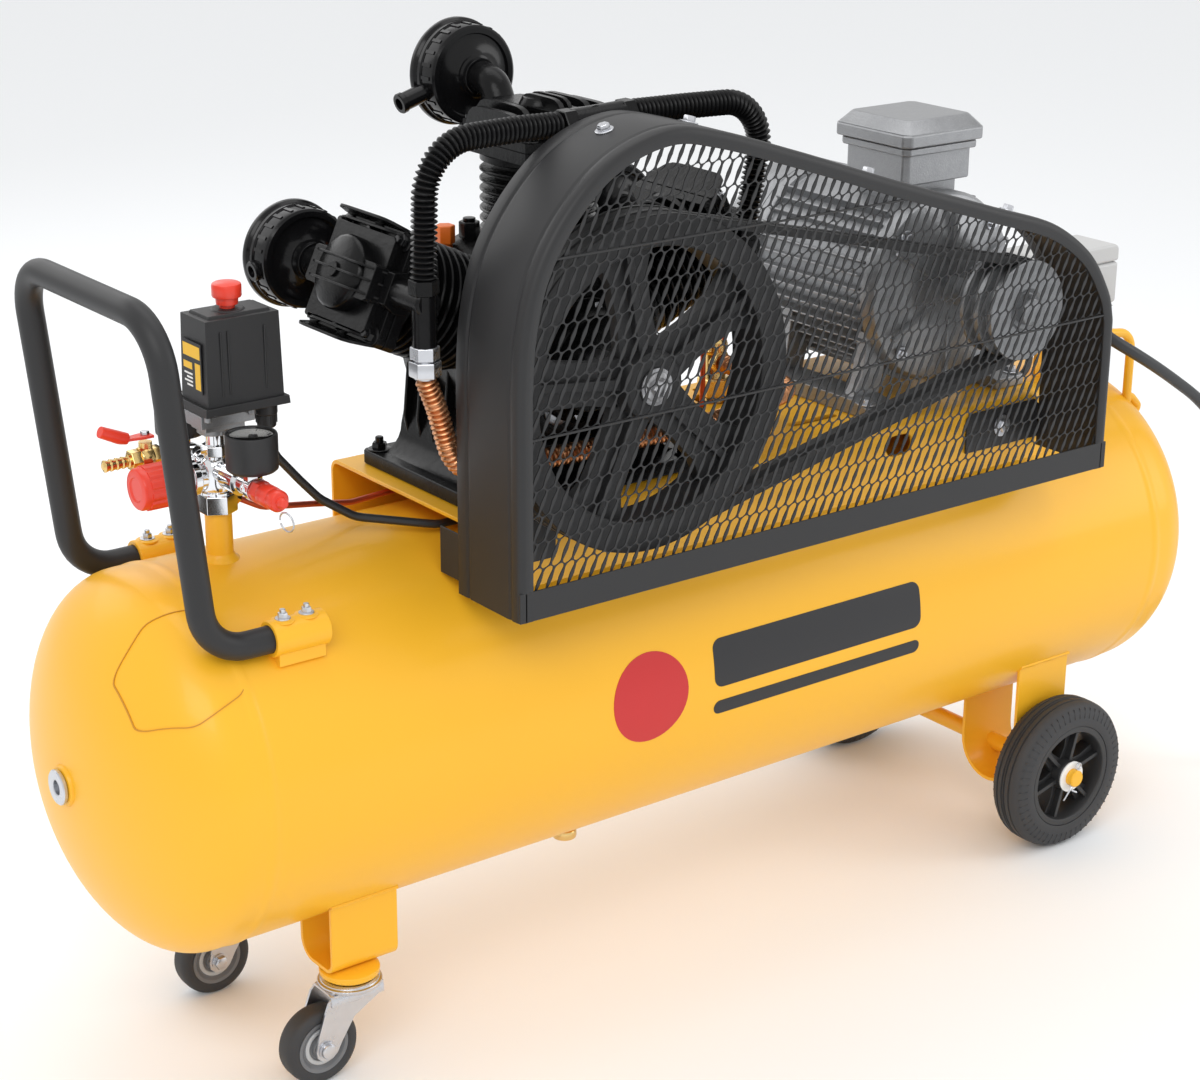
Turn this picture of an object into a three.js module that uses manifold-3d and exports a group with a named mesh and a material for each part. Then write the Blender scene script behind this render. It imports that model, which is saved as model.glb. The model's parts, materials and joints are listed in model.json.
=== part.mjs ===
// Belt-driven piston air compressor on a horizontal wheeled receiver.
// Millimetres, +Z up, +X along the receiver from the handle end to the motor end,
// -Y towards the belt guard. The floor is Z = 0.
import * as THREE from 'three';
import { mergeVertices } from 'three/addons/utils/BufferGeometryUtils.js';
import Module from 'manifold-3d';

const wasm = await Module();
wasm.setup();

// ---------------------------------------------------------------- driving dimensions
const TANK_R = 175;          // receiver outside radius
const TANK_WALL = 3;         // receiver wall
const TANK_Z = 310;          // height of the receiver's axis
const TANK_SHELL = 567.5;    // half length of the straight shell
const DOME = 90;             // depth of each domed end
const PLATE_Z = 510;         // top face of the base plate
const PLATE_T = 4;
const PLATE_X0 = -309, PLATE_X1 = 420;
const PLATE_Y = 120;         // half width of the base plate
const CRANK_X = -168.3, CRANK_Z = 632.2;
const FLY_R = 152, FLY_Y0 = -199, FLY_Y1 = -155;
const MOTOR_X = 296.6, MOTOR_Z = 628.3, MOTOR_R = 103;
const PULLEY_R = 50;
const BELT_OUT = 1, BELT_T = 8, BELT_W = 13;    // belt lies 1 below the rims, 8 thick, 13 wide
const BELT_Y = [-187, -167];
const GUARD_Y0 = -216, GUARD_Y1 = -121.7, GUARD_Z0 = 450.6;
const GUARD_X0 = -326, GUARD_X1 = 406.7;
const SHEET = 2;             // guard sheet
const W_ANGLE = 65;          // outer cylinders lean this far from the vertical
const CAST_R = 37, CAST_X = -437, CAST_Y = 100, CAST_TRAIL = 36;
const WHEEL_R = 84, WHEEL_X = 427, WHEEL_Y = 165, WHEEL_W = 44;
const HANDLE_R = 12, HANDLE_Y = 122;
const RISER_X = -495;
const CORD_D = 13;           // power cable
const CORD_R = CORD_D / 2;
const GAP = 0.3;
// the whole object is moved so that the middle of its box (cord left out) is over the origin
const SHIFT_X = 3.5, SHIFT_Y = 10.0;

// ---------------------------------------------------------------- materials
const mat = (c, r, m) => new THREE.MeshStandardMaterial({ color: c, roughness: r, metalness: m });
const yellow = mat(0xf6b21c, 0.32, 0.0), charcoal = mat(0x3a3b3d, 0.5, 0.1), cast = mat(0x141416, 0.35, 0.2);
const chrome = mat(0xd8d8da, 0.12, 1), zinc = mat(0xb9bcc0, 0.32, 1), brass = mat(0xc49a4a, 0.28, 1);
const rubber = mat(0x2a2b2c, 0.75, 0), red = mat(0xd8301f, 0.4, 0), plasticK = mat(0x1b1b1d, 0.45, 0);
const alu = mat(0x9fa2a4, 0.45, 0.7), grey = mat(0xd4d5d4, 0.45, 0), copper = mat(0xa5603a, 0.35, 1);
const orange = mat(0xe8701a, 0.4, 0), blackpipe = mat(0x17171a, 0.4, 0.3), greyhub = mat(0x8b8d90, 0.5, 0.1);

// ---------------------------------------------------------------- solids
function bare(g) {
  let b = g.clone();
  for (const k of Object.keys(b.attributes)) if (k !== 'position') b.deleteAttribute(k);
  b = mergeVertices(b, 1e-4);
  return b;
}
function solid(g) {
  const b = bare(g);
  return new wasm.Manifold(new wasm.Mesh({
    numProp: 3, vertProperties: new Float32Array(b.attributes.position.array), triVerts: new Uint32Array(b.index.array) }));
}
function toGeo(m) {
  const k = m.getMesh();
  const g = new THREE.BufferGeometry();
  const p = new Float32Array((k.vertProperties.length / k.numProp) * 3);
  for (let i = 0; i < p.length / 3; i++) for (let j = 0; j < 3; j++) p[3 * i + j] = k.vertProperties[k.numProp * i + j];
  g.setAttribute('position', new THREE.BufferAttribute(p, 3));
  g.setIndex(new THREE.BufferAttribute(new Uint32Array(k.triVerts), 1));
  return g;
}
const join = (...s) => s.reduce((a, b) => a.add(b));
const cut = (a, ...s) => s.reduce((x, y) => x.subtract(y), a);

function box(x0, x1, y0, y1, z0, z1) {
  const g = new THREE.BoxGeometry(x1 - x0, y1 - y0, z1 - z0);
  g.translate((x0 + x1) / 2, (y0 + y1) / 2, (z0 + z1) / 2);
  return g;
}
function rod(a, b, r, n = 16, r2 = r) {
  const A = new THREE.Vector3(...a), B = new THREE.Vector3(...b), d = B.clone().sub(A);
  const g = new THREE.CylinderGeometry(r2, r, d.length(), n);
  g.translate(0, d.length() / 2, 0);
  g.applyQuaternion(new THREE.Quaternion().setFromUnitVectors(new THREE.Vector3(0, 1, 0), d.normalize()));
  g.translate(...a);
  return g;
}
// profile: [radius, height] pairs; turned about a line from `at` along `dir`
function turned(profile, at, dir, n = 24) {
  const g = new THREE.LatheGeometry(profile.map(([r, h]) => new THREE.Vector2(r, h)), n);
  g.applyQuaternion(new THREE.Quaternion().setFromUnitVectors(new THREE.Vector3(0, 1, 0), new THREE.Vector3(...dir).normalize()));
  g.translate(...at);
  return g;
}
// outline in X and Z, extruded along Y from y0 to y1
function slabY(pts, y0, y1) {
  const s = new THREE.Shape(pts.map(([x, z]) => new THREE.Vector2(x, z)));
  const g = new THREE.ExtrudeGeometry(s, { depth: y1 - y0, bevelEnabled: false, steps: 1 });
  g.rotateX(Math.PI / 2);
  g.translate(0, y1, 0);
  return g;
}
// outline in Y and Z, extruded along X from x0 to x1
function slabX(pts, x0, x1) {
  const s = new THREE.Shape(pts.map(([y, z]) => new THREE.Vector2(y, z)));
  const g = new THREE.ExtrudeGeometry(s, { depth: x1 - x0, bevelEnabled: false, steps: 1 });
  g.applyMatrix4(new THREE.Matrix4().set(0, 0, 1, x0, 1, 0, 0, 0, 0, 1, 0, 0, 0, 0, 0, 1));
  return g;
}
function tube(points, r, sides = 10, steps = 30, tension = 0.5) {
  const c = new THREE.CatmullRomCurve3(points.map(p => new THREE.Vector3(...p)), false, 'centripetal', tension);
  const s = new THREE.Shape();
  for (let i = 0; i < sides; i++) {
    const a = (2 * Math.PI * i) / sides;
    (i ? s.lineTo : s.moveTo).call(s, r * Math.cos(a), r * Math.sin(a));
  }
  s.closePath();
  return new THREE.ExtrudeGeometry(s, { steps, extrudePath: c, bevelEnabled: false });
}
// a path of straight runs with arcs of radius rad at its corners
function filleted(pts, rad, per = 5) {
  const P = pts.map(p => new THREE.Vector3(...p)), out = [pts[0]];
  for (let i = 1; i < P.length - 1; i++) {
    const u = P[i - 1].clone().sub(P[i]).normalize(), v = P[i + 1].clone().sub(P[i]).normalize();
    const half = Math.acos(THREE.MathUtils.clamp(u.dot(v), -1, 1)) / 2;
    const t = Math.min(rad / Math.tan(half), 0.49 * P[i].distanceTo(P[i - 1]), 0.49 * P[i].distanceTo(P[i + 1]));
    const rr = t * Math.tan(half);
    const c = P[i].clone().add(u.clone().add(v).normalize().multiplyScalar(rr / Math.sin(half)));
    const a = P[i].clone().add(u.clone().multiplyScalar(t)), b = P[i].clone().add(v.clone().multiplyScalar(t));
    const ca = a.clone().sub(c), cb = b.clone().sub(c), ang = ca.angleTo(cb);
    for (let k = 0; k <= per; k++) {
      const w = k / per, q = ca.clone().multiplyScalar(Math.sin((1 - w) * ang) / Math.sin(ang)).add(cb.clone().multiplyScalar(Math.sin(w * ang) / Math.sin(ang))).add(c);
      out.push([q.x, q.y, q.z]);
    }
  }
  out.push(pts[pts.length - 1]);
  return out;
}
// a round section swept along a polyline exactly through its points
function pipe(pts, r, sides = 10) {
  const path = new THREE.CurvePath();
  for (let i = 0; i < pts.length - 1; i++) path.add(new THREE.LineCurve3(new THREE.Vector3(...pts[i]), new THREE.Vector3(...pts[i + 1])));
  const ts = [];
  const L = path.getCurveLengths(), T = L[L.length - 1];
  const curve = new (class extends THREE.Curve {
    getPoint(t) { return path.getPoint(t); }
    getPointAt(t) { const i = Math.round(t * (pts.length - 1)); return new THREE.Vector3(...pts[i]); }
    getTangentAt(t) {
      const i = Math.round(t * (pts.length - 1)), a = pts[Math.max(0, i - 1)], b = pts[Math.min(pts.length - 1, i + 1)];
      return new THREE.Vector3(b[0] - a[0], b[1] - a[1], b[2] - a[2]).normalize();
    }
    getSpacedPoints() { return pts.map(p => new THREE.Vector3(...p)); }
  })();
  const s = new THREE.Shape();
  for (let i = 0; i < sides; i++) {
    const a = (2 * Math.PI * i) / sides;
    (i ? s.lineTo : s.moveTo).call(s, r * Math.cos(a), r * Math.sin(a));
  }
  s.closePath();
  return new THREE.ExtrudeGeometry(s, { steps: pts.length - 1, extrudePath: curve, bevelEnabled: false });
}

const part = new THREE.Group();
const body = new THREE.Group();
body.position.set(SHIFT_X, SHIFT_Y, 0);
part.add(body);
function add(name, g, material) {
  const geo = g.isBufferGeometry ? g : toGeo(g);
  if (!geo.attributes.normal) geo.computeVertexNormals();
  const m = new THREE.Mesh(geo, material);
  m.name = name;
  body.add(m);
}

// ---------------------------------------------------------------- receiver
const domePts = (r, d, n) => Array.from({ length: n + 1 }, (_, i) => { const a = (Math.PI / 2) * (i / n); return [r * Math.sin(a), d * Math.cos(a)]; });
function tankProfile(r, d, n = 5) {
  const top = domePts(r, d, n).map(([q, h]) => [q < 1e-6 ? 0 : q, TANK_SHELL + h]);   // from the axis out to the shell
  const low = top.slice().map(([q, h]) => [q, -h]);
  return [...low, ...top.slice().reverse()];
}
const outerTank = solid(turned(tankProfile(TANK_R, DOME), [0, 0, TANK_Z], [1, 0, 0], 32));
const innerTank = solid(turned(tankProfile(TANK_R - TANK_WALL, DOME - TANK_WALL, 3), [0, 0, TANK_Z], [1, 0, 0], 32));
const keepOff = solid(turned(tankProfile(TANK_R + GAP, DOME + GAP), [0, 0, TANK_Z], [1, 0, 0], 32));
const DRAIN_X = -120, CV_X = 110, CV_Y = 55;
{
  let t = outerTank;
  t = t.add(solid(rod([-632, 0, TANK_Z], [-660, 0, TANK_Z], 19, 16)));                 // boss of the end plug
  t = t.add(solid(rod([RISER_X, 0, 470], [RISER_X, 0, 528], 12, 20)));                 // riser to the manifold
  t = t.add(solid(rod([DRAIN_X, 0, 140], [DRAIN_X, 0, 128], 15, 20)));                 // drain boss
  for (const s of [-1, 1]) {                                                          // handle sockets
    t = t.add(solid(rod([-518, s * HANDLE_Y, 453], [-465, s * HANDLE_Y, 453], 16, 20)));
    t = t.add(solid(box(-516, -468, s * HANDLE_Y - 11, s * HANDLE_Y + 11, 430, 448)));
  }
  t = t.add(solid(box(505, 555, -22, -18, 478, 553))).add(solid(box(495, 565, -42, 2, 552, 555.6)));  // stand of the starter box
  t = t.subtract(innerTank);
  t = t.subtract(solid(rod([RISER_X, 0, 460], [RISER_X, 0, 540], 8, 16)));
  t = t.subtract(solid(rod([DRAIN_X, 0, 120], [DRAIN_X, 0, 150], 7.5, 16)));
  t = t.subtract(solid(rod([-670, 0, TANK_Z], [-630, 0, TANK_Z], 13.3, 16)));
  for (const s of [-1, 1]) t = t.subtract(solid(rod([-530, s * HANDLE_Y, 453], [-474, s * HANDLE_Y, 453], HANDLE_R + GAP, 16)));
  add('tank_shell', t, yellow);
}
add('inspection_plug', join(solid(rod([-664.5, 0, TANK_Z], [-640, 0, TANK_Z], 12.9, 16)), solid(rod([-664.5, 0, TANK_Z], [-660.3, 0, TANK_Z], 16, 16)))
  .subtract(solid(rod([-670, 0, TANK_Z], [-656, 0, TANK_Z], 6, 6))), zinc);
add('drain_valve', join(solid(rod([DRAIN_X, 0, 139], [DRAIN_X, 0, 126], 6.9, 14)), solid(rod([DRAIN_X, 0, 127.7], [DRAIN_X, 0, 114], 9, 6)), solid(turned([[0, 0], [11, 0], [12.5, 2], [12.5, 9], [11, 11], [6, 12], [6, 16], [0, 16]], [DRAIN_X, 0, 99.5], [0, 0, 1], 16))), brass);

// ---------------------------------------------------------------- base plate
{
  let p = solid(box(PLATE_X0, PLATE_X1, -PLATE_Y, PLATE_Y, PLATE_Z - PLATE_T, PLATE_Z));
  p = p.add(solid(box(PLATE_X0, PLATE_X1, -PLATE_Y, -PLATE_Y + PLATE_T, 425, PLATE_Z - 1))).add(solid(box(PLATE_X0, PLATE_X1, PLATE_Y - PLATE_T, PLATE_Y, 425, PLATE_Z - 1)));
  p = p.subtract(keepOff);
  p = p.subtract(solid(box(112, 175, -66, -56, PLATE_Z - 10, PLATE_Z + 5)));
  p = p.subtract(solid(box(112, 175, 84, 94, PLATE_Z - 10, PLATE_Z + 5)));
  p = p.subtract(solid(rod([CV_X, CV_Y, 490], [CV_X, CV_Y, 520], 20, 20)));
  p = p.subtract(solid(box(190, 226, -PLATE_Y - 5, -PLATE_Y + 10, 476, 497)));
  add('base_plate', p, yellow);
}

// ---------------------------------------------------------------- legs, brackets and axle
for (const [tag, s] of [['near', -1], ['far', 1]]) {
  const leg = [[116, 184], [112, 184], [112, 112], [76, 112], [68, 116], [64, 124], [64, 152], [60, 152], [60, 122], [65, 112], [74, 108], [112, 108], [116, 112]].map(([y, z]) => [s * y, z]);
  let g = solid(slabX(s > 0 ? leg : leg.slice().reverse(), -466, -394)).subtract(keepOff);
  g = g.add(solid(turned([[0, 0], [24, 0], [28, 3], [28, 8], [22, 11.5], [0, 11.5]], [CAST_X, s * CAST_Y, 96.8], [0, 0, 1], 16)));
  add('leg_' + tag, g, yellow);
  // rear strap: down outside, round under the axle and up inside
  const o = [], n = 7, yc = 101, zc = 100;
  o.push([141, 212]);
  for (let i = 0; i <= n; i++) { const a = -Math.PI * (i / n); o.push([yc + 40 * Math.cos(a), zc + 40 * Math.sin(a)]); }
  o.push([61, 152]);
  const inn = [[65, 152]];
  for (let i = n; i >= 0; i--) { const a = -Math.PI * (i / n); inn.push([yc + 36 * Math.cos(a), zc + 36 * Math.sin(a)]); }
  inn.push([137, 212]);
  const ring = [...o, ...inn].map(([y, z]) => [s * y, z]);
  let b = solid(slabX(s < 0 ? ring : ring.slice().reverse(), 384, 458)).subtract(keepOff);
  b = b.subtract(solid(rod([WHEEL_X, s * 40, WHEEL_R], [WHEEL_X, s * 160, WHEEL_R], 9.9, 16)));
  add('rear_bracket_' + tag, b, yellow);
}
add('rear_axle', solid(rod([WHEEL_X, -196, WHEEL_R], [WHEEL_X, 196, WHEEL_R], 9.5, 16)), yellow);

// ---------------------------------------------------------------- casters
for (const [tag, s] of [['near', -1], ['far', 1]]) {
  const y = s * CAST_Y, wx = CAST_X - CAST_TRAIL;
  const side = [[wx - 6, 26], [wx + 8, 27], [wx + 18, 40], [-411, 78], [-409, 88], [wx + 4, 88], [wx - 10, 60], [wx - 12, 34]];
  let f = solid(turned([[0, 0], [29, 0], [29, 5], [24, 8.5], [0, 8.5]], [CAST_X, y, 88], [0, 0, 1], 16));
  f = f.add(solid(box(wx + 4, -413, y - 18, y + 18, 85.5, 88.5)));
  f = f.add(solid(slabY(side, y - 18, y - 15.5))).add(solid(slabY(side, y + 15.5, y + 18)));
  f = f.add(solid(rod([wx, y - 21, CAST_R], [wx, y + 21, CAST_R], 5, 12)));
  f = f.add(solid(rod([wx, y - 23, CAST_R], [wx, y - 17.5, CAST_R], 8.5, 12))).add(solid(rod([wx, y + 17.5, CAST_R], [wx, y + 23, CAST_R], 8.5, 12)));
  add('caster_fork_' + tag, f, zinc);
  const w = turned([[5.2, -13], [12, -13], [12, -9], [26, -9], [27, -12], [34, -12], [37, -5], [37, 5], [34, 12], [27, 12], [26, 9], [12, 9], [12, 13], [5.2, 13], [5.2, -13]], [wx, y, CAST_R], [0, 1, 0], 18);
  add('caster_wheel_' + tag, solid(w), rubber);
}

// ---------------------------------------------------------------- rear wheels
for (const [tag, s] of [['near', -1], ['far', 1]]) {
  const h = WHEEL_W / 2;
  const prof = [[9.8, -h + 2], [17, -h + 2], [18, -6], [51, -6], [55, -h], [76, -h + 1], [84, -11], [84, 11], [76, h - 1], [55, h], [51, 6], [18, 6], [17, h - 2], [9.8, h - 2], [9.8, -h + 2]];
  add('rear_wheel_' + tag, solid(turned(prof, [WHEEL_X, s * WHEEL_Y, WHEEL_R], [0, 1, 0], 24)), rubber);
}

// ---------------------------------------------------------------- handle and hook
{
  const hp = filleted([[-478, -HANDLE_Y, 453], [-577, -HANDLE_Y, 453], [-606, -HANDLE_Y, 741], [-606, HANDLE_Y, 741], [-577, HANDLE_Y, 453], [-478, HANDLE_Y, 453]], 42, 4);
  add('handle_tube', solid(pipe(hp, HANDLE_R, 10)), charcoal);
  const hk = filleted([[592, -80, 440], [592, -80, 533], [540, -80, 540], [534, -80, 500]], 22, 4);
  add('cable_hook', solid(pipe(hk, 5, 8)).subtract(keepOff), yellow);
}

// ---------------------------------------------------------------- air outlet: manifold, gauges, regulator, valves
const MX = RISER_X;
{
  let m = solid(rod([MX, 0, 528.3], [MX, 0, 548], 17, 6));
  m = m.add(solid(rod([MX, 0, 547], [MX, 0, 580], 14, 16))).add(solid(rod([MX, 0, 578], [MX, 0, 599.7], 8.5, 16)));
  m = m.add(solid(rod([MX, -72, 567], [MX, 66, 567], 8.5, 14)));
  for (const y of [-65, 62]) m = m.add(solid(rod([MX, y, 560], [MX, y, 582.7], 7, 6)));
  m = m.add(solid(rod([MX, 5, 561], [-529.7, 5, 561], 12, 16)));
  m = m.add(solid(rod([MX, 38, 570], [-526.7, 38, 576], 7.5, 12)));
  add('manifold', m, chrome);
}
add('regulator_knob', solid(turned([[0, 0], [17, 0], [20, 4], [20, 35], [17, 40], [0, 40]], [-530, 5, 561], [-1, 0, 0], 20)), red);
add('outlet_valve_body', join(solid(rod([-528.6, 38, 576], [-558, 38, 576], 9.5, 6)), solid(rod([-542, 38, 576], [-542, 38, 591], 6.5, 12)), solid(rod([-557, 38, 576], [-584, 38, 575.5], 5, 12))), brass);
add('outlet_valve_lever', join(solid(rod([-542, 38, 591.3], [-542, 38, 598], 6, 6)), solid(box(-562, -536, 33, 43, 595, 598)), solid(rod([-558, 38, 597], [-584, 38, 609], 5.5, 10))), red);
for (const [tag, y] of [['front', -65], ['rear', 62]]) {
  const c = turned([[0, 0], [20.5, 0], [22.5, 2], [22.5, 33], [20, 33], [20, 28.5], [0, 28.5]], [MX, y, 583], [0, 0, 1], 18);
  add('gauge_' + tag, solid(c), plasticK);
  add('gauge_needle_' + tag, join(solid(rod([MX, y, 611.8], [MX, y, 613.8], 2.2, 10)), solid(box(MX - 15, MX, y - 0.7, y + 0.7, 612.3, 613.3)), solid(box(MX, MX + 6, y - 1.2, y + 1.2, 612.3, 613.3))), red);
}
add('safety_valve', join(solid(rod([MX, -72.3, 567], [MX, -86, 567], 10, 6)), solid(rod([MX, -85, 567], [MX, -110, 567], 9.5, 14)), solid(rod([MX, -109, 567], [MX, -118, 567], 5, 12))), red);
add('safety_ring', solid(turned([[7.6, -0.9], [9.4, -0.9], [9.4, 0.9], [7.6, 0.9], [7.6, -0.9]], [MX, -119.6, 552.0], [1, 0.2, 0.1], 16)), zinc);
add('unloader_tube', solid(pipe(filleted([[-478, 0, 538], [-450, 2, 522], [-392, 10, 511], [-345, 26, 498], [-290, 40, 495], [60, 50, 495], [CV_X - 13.6, CV_Y - 3, 495]], 14, 3), 3, 8)), copper);
add('switch_base', join(solid(box(-520, -466, -24, 16, 607, 623.7)), solid(rod([MX, 0, 600], [MX, 0, 610], 15, 16))), alu);
add('switch_cover', join(solid(box(-516, -440, -30, 18, 629, 709)), solid(box(-519, -437, -33, 21, 624, 631)), solid(rod([-450, -12, 600], [-450, -12, 626], 9, 12)), solid(rod([-450, 9, 604], [-450, 9, 626], 9, 12)))
  .subtract(solid(rod([-480, -6, 690], [-480, -6, 715], 7.2, 16))), plasticK);
add('switch_knob', join(solid(rod([-480, -6, 693], [-480, -6, 726], 6.8, 14)), solid(turned([[0, 0], [9, 0], [12.5, 4], [12.5, 9], [9, 12], [0, 13]], [-480, -6, 724], [0, 0, 1], 20))), red);
add('switch_cable', solid(pipe(filleted([[-450, -12, 598.9], [-444, -12, 574], [-418, -10, 544], [-399, -11, 523], [-368, -20, 502], [-300, -50, 489], [400, -55, 489], [474, -40, 500], [490, -28, 526], [490, -20, 555.5]], 26, 2), 4, 8)).subtract(solid(box(480, 500, -30, 0, 551.6, 560))), plasticK);

// ---------------------------------------------------------------- pump
const dirW = a => [Math.sin(a * Math.PI / 180), 0, Math.cos(a * Math.PI / 180)];
const along = (a, y, r) => { const d = dirW(a); return [CRANK_X + d[0] * r, y, CRANK_Z + d[2] * r]; };
const CYL = { left: [-W_ANGLE, -9, 195], centre: [0, -26, 226], right: [W_ANGLE, -35, 195] };
const OUT_Y = -107;
{
  let c = solid(rod([CRANK_X, -92, CRANK_Z], [CRANK_X, 74, CRANK_Z], 94, 22));
  const ped = [[-286, PLATE_Z + 12], [-262, 536], [-256, 560], [-256, 600], [-80, 600], [-80, 560], [-74, 536], [-50, PLATE_Z + 12]];
  c = c.add(solid(slabY(ped.slice().reverse(), -88, 70)));
  c = c.add(solid(box(-295, -41, -115, 90, PLATE_Z + GAP, PLATE_Z + 14)));
  c = c.add(solid(rod([CRANK_X, 72, CRANK_Z], [CRANK_X, 88, CRANK_Z], 60, 24)));
  c = c.add(solid(rod([CRANK_X, -90, CRANK_Z], [CRANK_X, -114, CRANK_Z], 44, 24)));
  for (const k of ['left', 'centre', 'right']) { const [a, y] = CYL[k]; c = c.add(solid(rod(along(a, y, 60), along(a, y, 97), 46, 14))); }
  c = c.add(solid(rod([-219, 52, 690], [-219, 52, 716], 14, 16)));            // filler boss
  c = c.subtract(solid(rod([CRANK_X, -120, CRANK_Z], [CRANK_X, 60, CRANK_Z], 15.3, 20)));
  c = c.subtract(solid(rod([-219, 52, 700], [-219, 52, 740], 7.7, 16)));
  add('crankcase', c, cast);
}
add('oil_cap', join(solid(rod([-219, 52, 702], [-219, 52, 719.5], 7, 14)), solid(rod([-219, 52, 718.4], [-219, 52, 736], 12, 6))), orange);
add('crankshaft', solid(rod([CRANK_X, -202, CRANK_Z], [CRANK_X, 56, CRANK_Z], 15, 20)), alu);
for (const k of ['left', 'centre', 'right']) {
  const [a, y, zr] = CYL[k];
  const prof = [[0, 0], [42, 0]];
  prof.push([42, 6], [53, 10], [53, 64], [42, 68]);
  prof.push([42, 74], [50, 75], [50, 81.7], [0, 81.7]);
  add('cylinder_' + k, solid(turned(prof, along(a, y, 97.3), dirW(a), 14)), cast);
  // head: flat block with raised ribs, an inlet neck and an outlet neck
  const w = 52, d = 56, q = new THREE.Quaternion().setFromAxisAngle(new THREE.Vector3(0, 1, 0), a * Math.PI / 180);
  const place = g => { g.applyQuaternion(q); g.translate(CRANK_X, y, CRANK_Z); return solid(g); };
  let h = place(box(-w, w, -d, d, 179.3, 198));
  h = h.add(place(box(-w + 6, w - 6, -d + 5, d - 5, 196, 212)));
  for (const x of [-50, -30, 26, 46]) h = h.add(place(box(x, x + 4, -d + 3, d - 3, 196, 228)));
  h = h.add(place(rod([0, 0, 200], [0, 0, 232], 24, 12)));
  const fy = k === 'centre' ? 66 : 75;
  if (k === 'centre') h = h.add(solid(rod([CRANK_X, 20, 838], [CRANK_X + 1, fy - 0.3, 864], 15, 14)).subtract(solid(box(-300, 100, fy - GAP, fy + 40, 800, 900))));
  else h = h.add(place(rod([0, 0, zr], [0, fy - GAP - y, zr], 15, 14)));
  if (k === 'centre') {                                                     // outlet with its tee
    h = h.add(solid(rod([CRANK_X, y - 40, 840], [CRANK_X, OUT_Y - 8, 851], 13, 14)));
    h = h.add(solid(rod([-204, OUT_Y, 851], [-126, OUT_Y, 854], 11.5, 6)));
  } else {
    h = h.add(place(rod([0, -d + 10, 197], [0, OUT_Y - 12 - y, 197], 13, 14)));
    const e = along(a, OUT_Y, 197);
    h = h.add(solid(rod([e[0], OUT_Y, k === 'left' ? 655 : 700], [e[0], OUT_Y, 736], 11, 12)));
    if (k === 'left') h = h.add(solid(rod([e[0], OUT_Y, 652], [e[0], OUT_Y, 674], 14, 6)));
  }
  add('head_' + k, h, cast);
  const fc = k === 'centre' ? [CRANK_X + 1, fy, 865] : along(a, fy, zr);
  const ft = k === 'centre' ? [fc[0] - 72, fy + 28, fc[2] - 22] : k === 'left' ? [fc[0] - 50, fy + 28, fc[2] - 8] : [fc[0] + 62, fy + 28, fc[2] - 8];
  add('filter_' + k, join(solid(turned([[0, 0], [17, 0], [17, 6], [42, 10], [46, 14], [46, 36], [50, 38], [50, 44], [46, 48], [0, 49]], fc, [0, 1, 0], 14)),
    solid(rod([fc[0] + (ft[0] - fc[0]) * 0.4, fy + 28, fc[2] + (ft[2] - fc[2]) * 0.4], ft, 8.5, 12))), cast);
}
{
  const L = filleted([[-205.2, OUT_Y, 851], [-250, OUT_Y, 852], [-343, OUT_Y, 850], [along(-W_ANGLE, OUT_Y, 197)[0], OUT_Y, 737]], 48, 5);
  add('discharge_left', solid(pipe(L, 11, 8)), blackpipe);
  const R = filleted([[-124.6, OUT_Y, 854], [-68, OUT_Y, 853], [30, OUT_Y, 850], [along(W_ANGLE, OUT_Y, 197)[0], OUT_Y, 738.4]], 42, 5);
  add('discharge_right', solid(pipe(R, 11, 8)), blackpipe);
  const D = filleted([[along(-W_ANGLE, OUT_Y, 197)[0], OUT_Y, 648.4], [-336, OUT_Y, 620], [-316, OUT_Y, 552], [-20, OUT_Y - 1, 551], [CV_X, -72, 551], [CV_X, CV_Y - 15.3, 551]], 36, 3);
  add('delivery_pipe', solid(pipe(D, 9.5, 8)), copper);
}
add('check_valve', join(solid(rod([CV_X, CV_Y, 470], [CV_X, CV_Y, 574], 13, 14)), solid(rod([CV_X, CV_Y, 516], [CV_X, CV_Y, 534], 17, 6)), solid(rod([CV_X, CV_Y, 551], [CV_X, CV_Y - 15, 551], 11, 6))).subtract(keepOff), brass);

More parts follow.
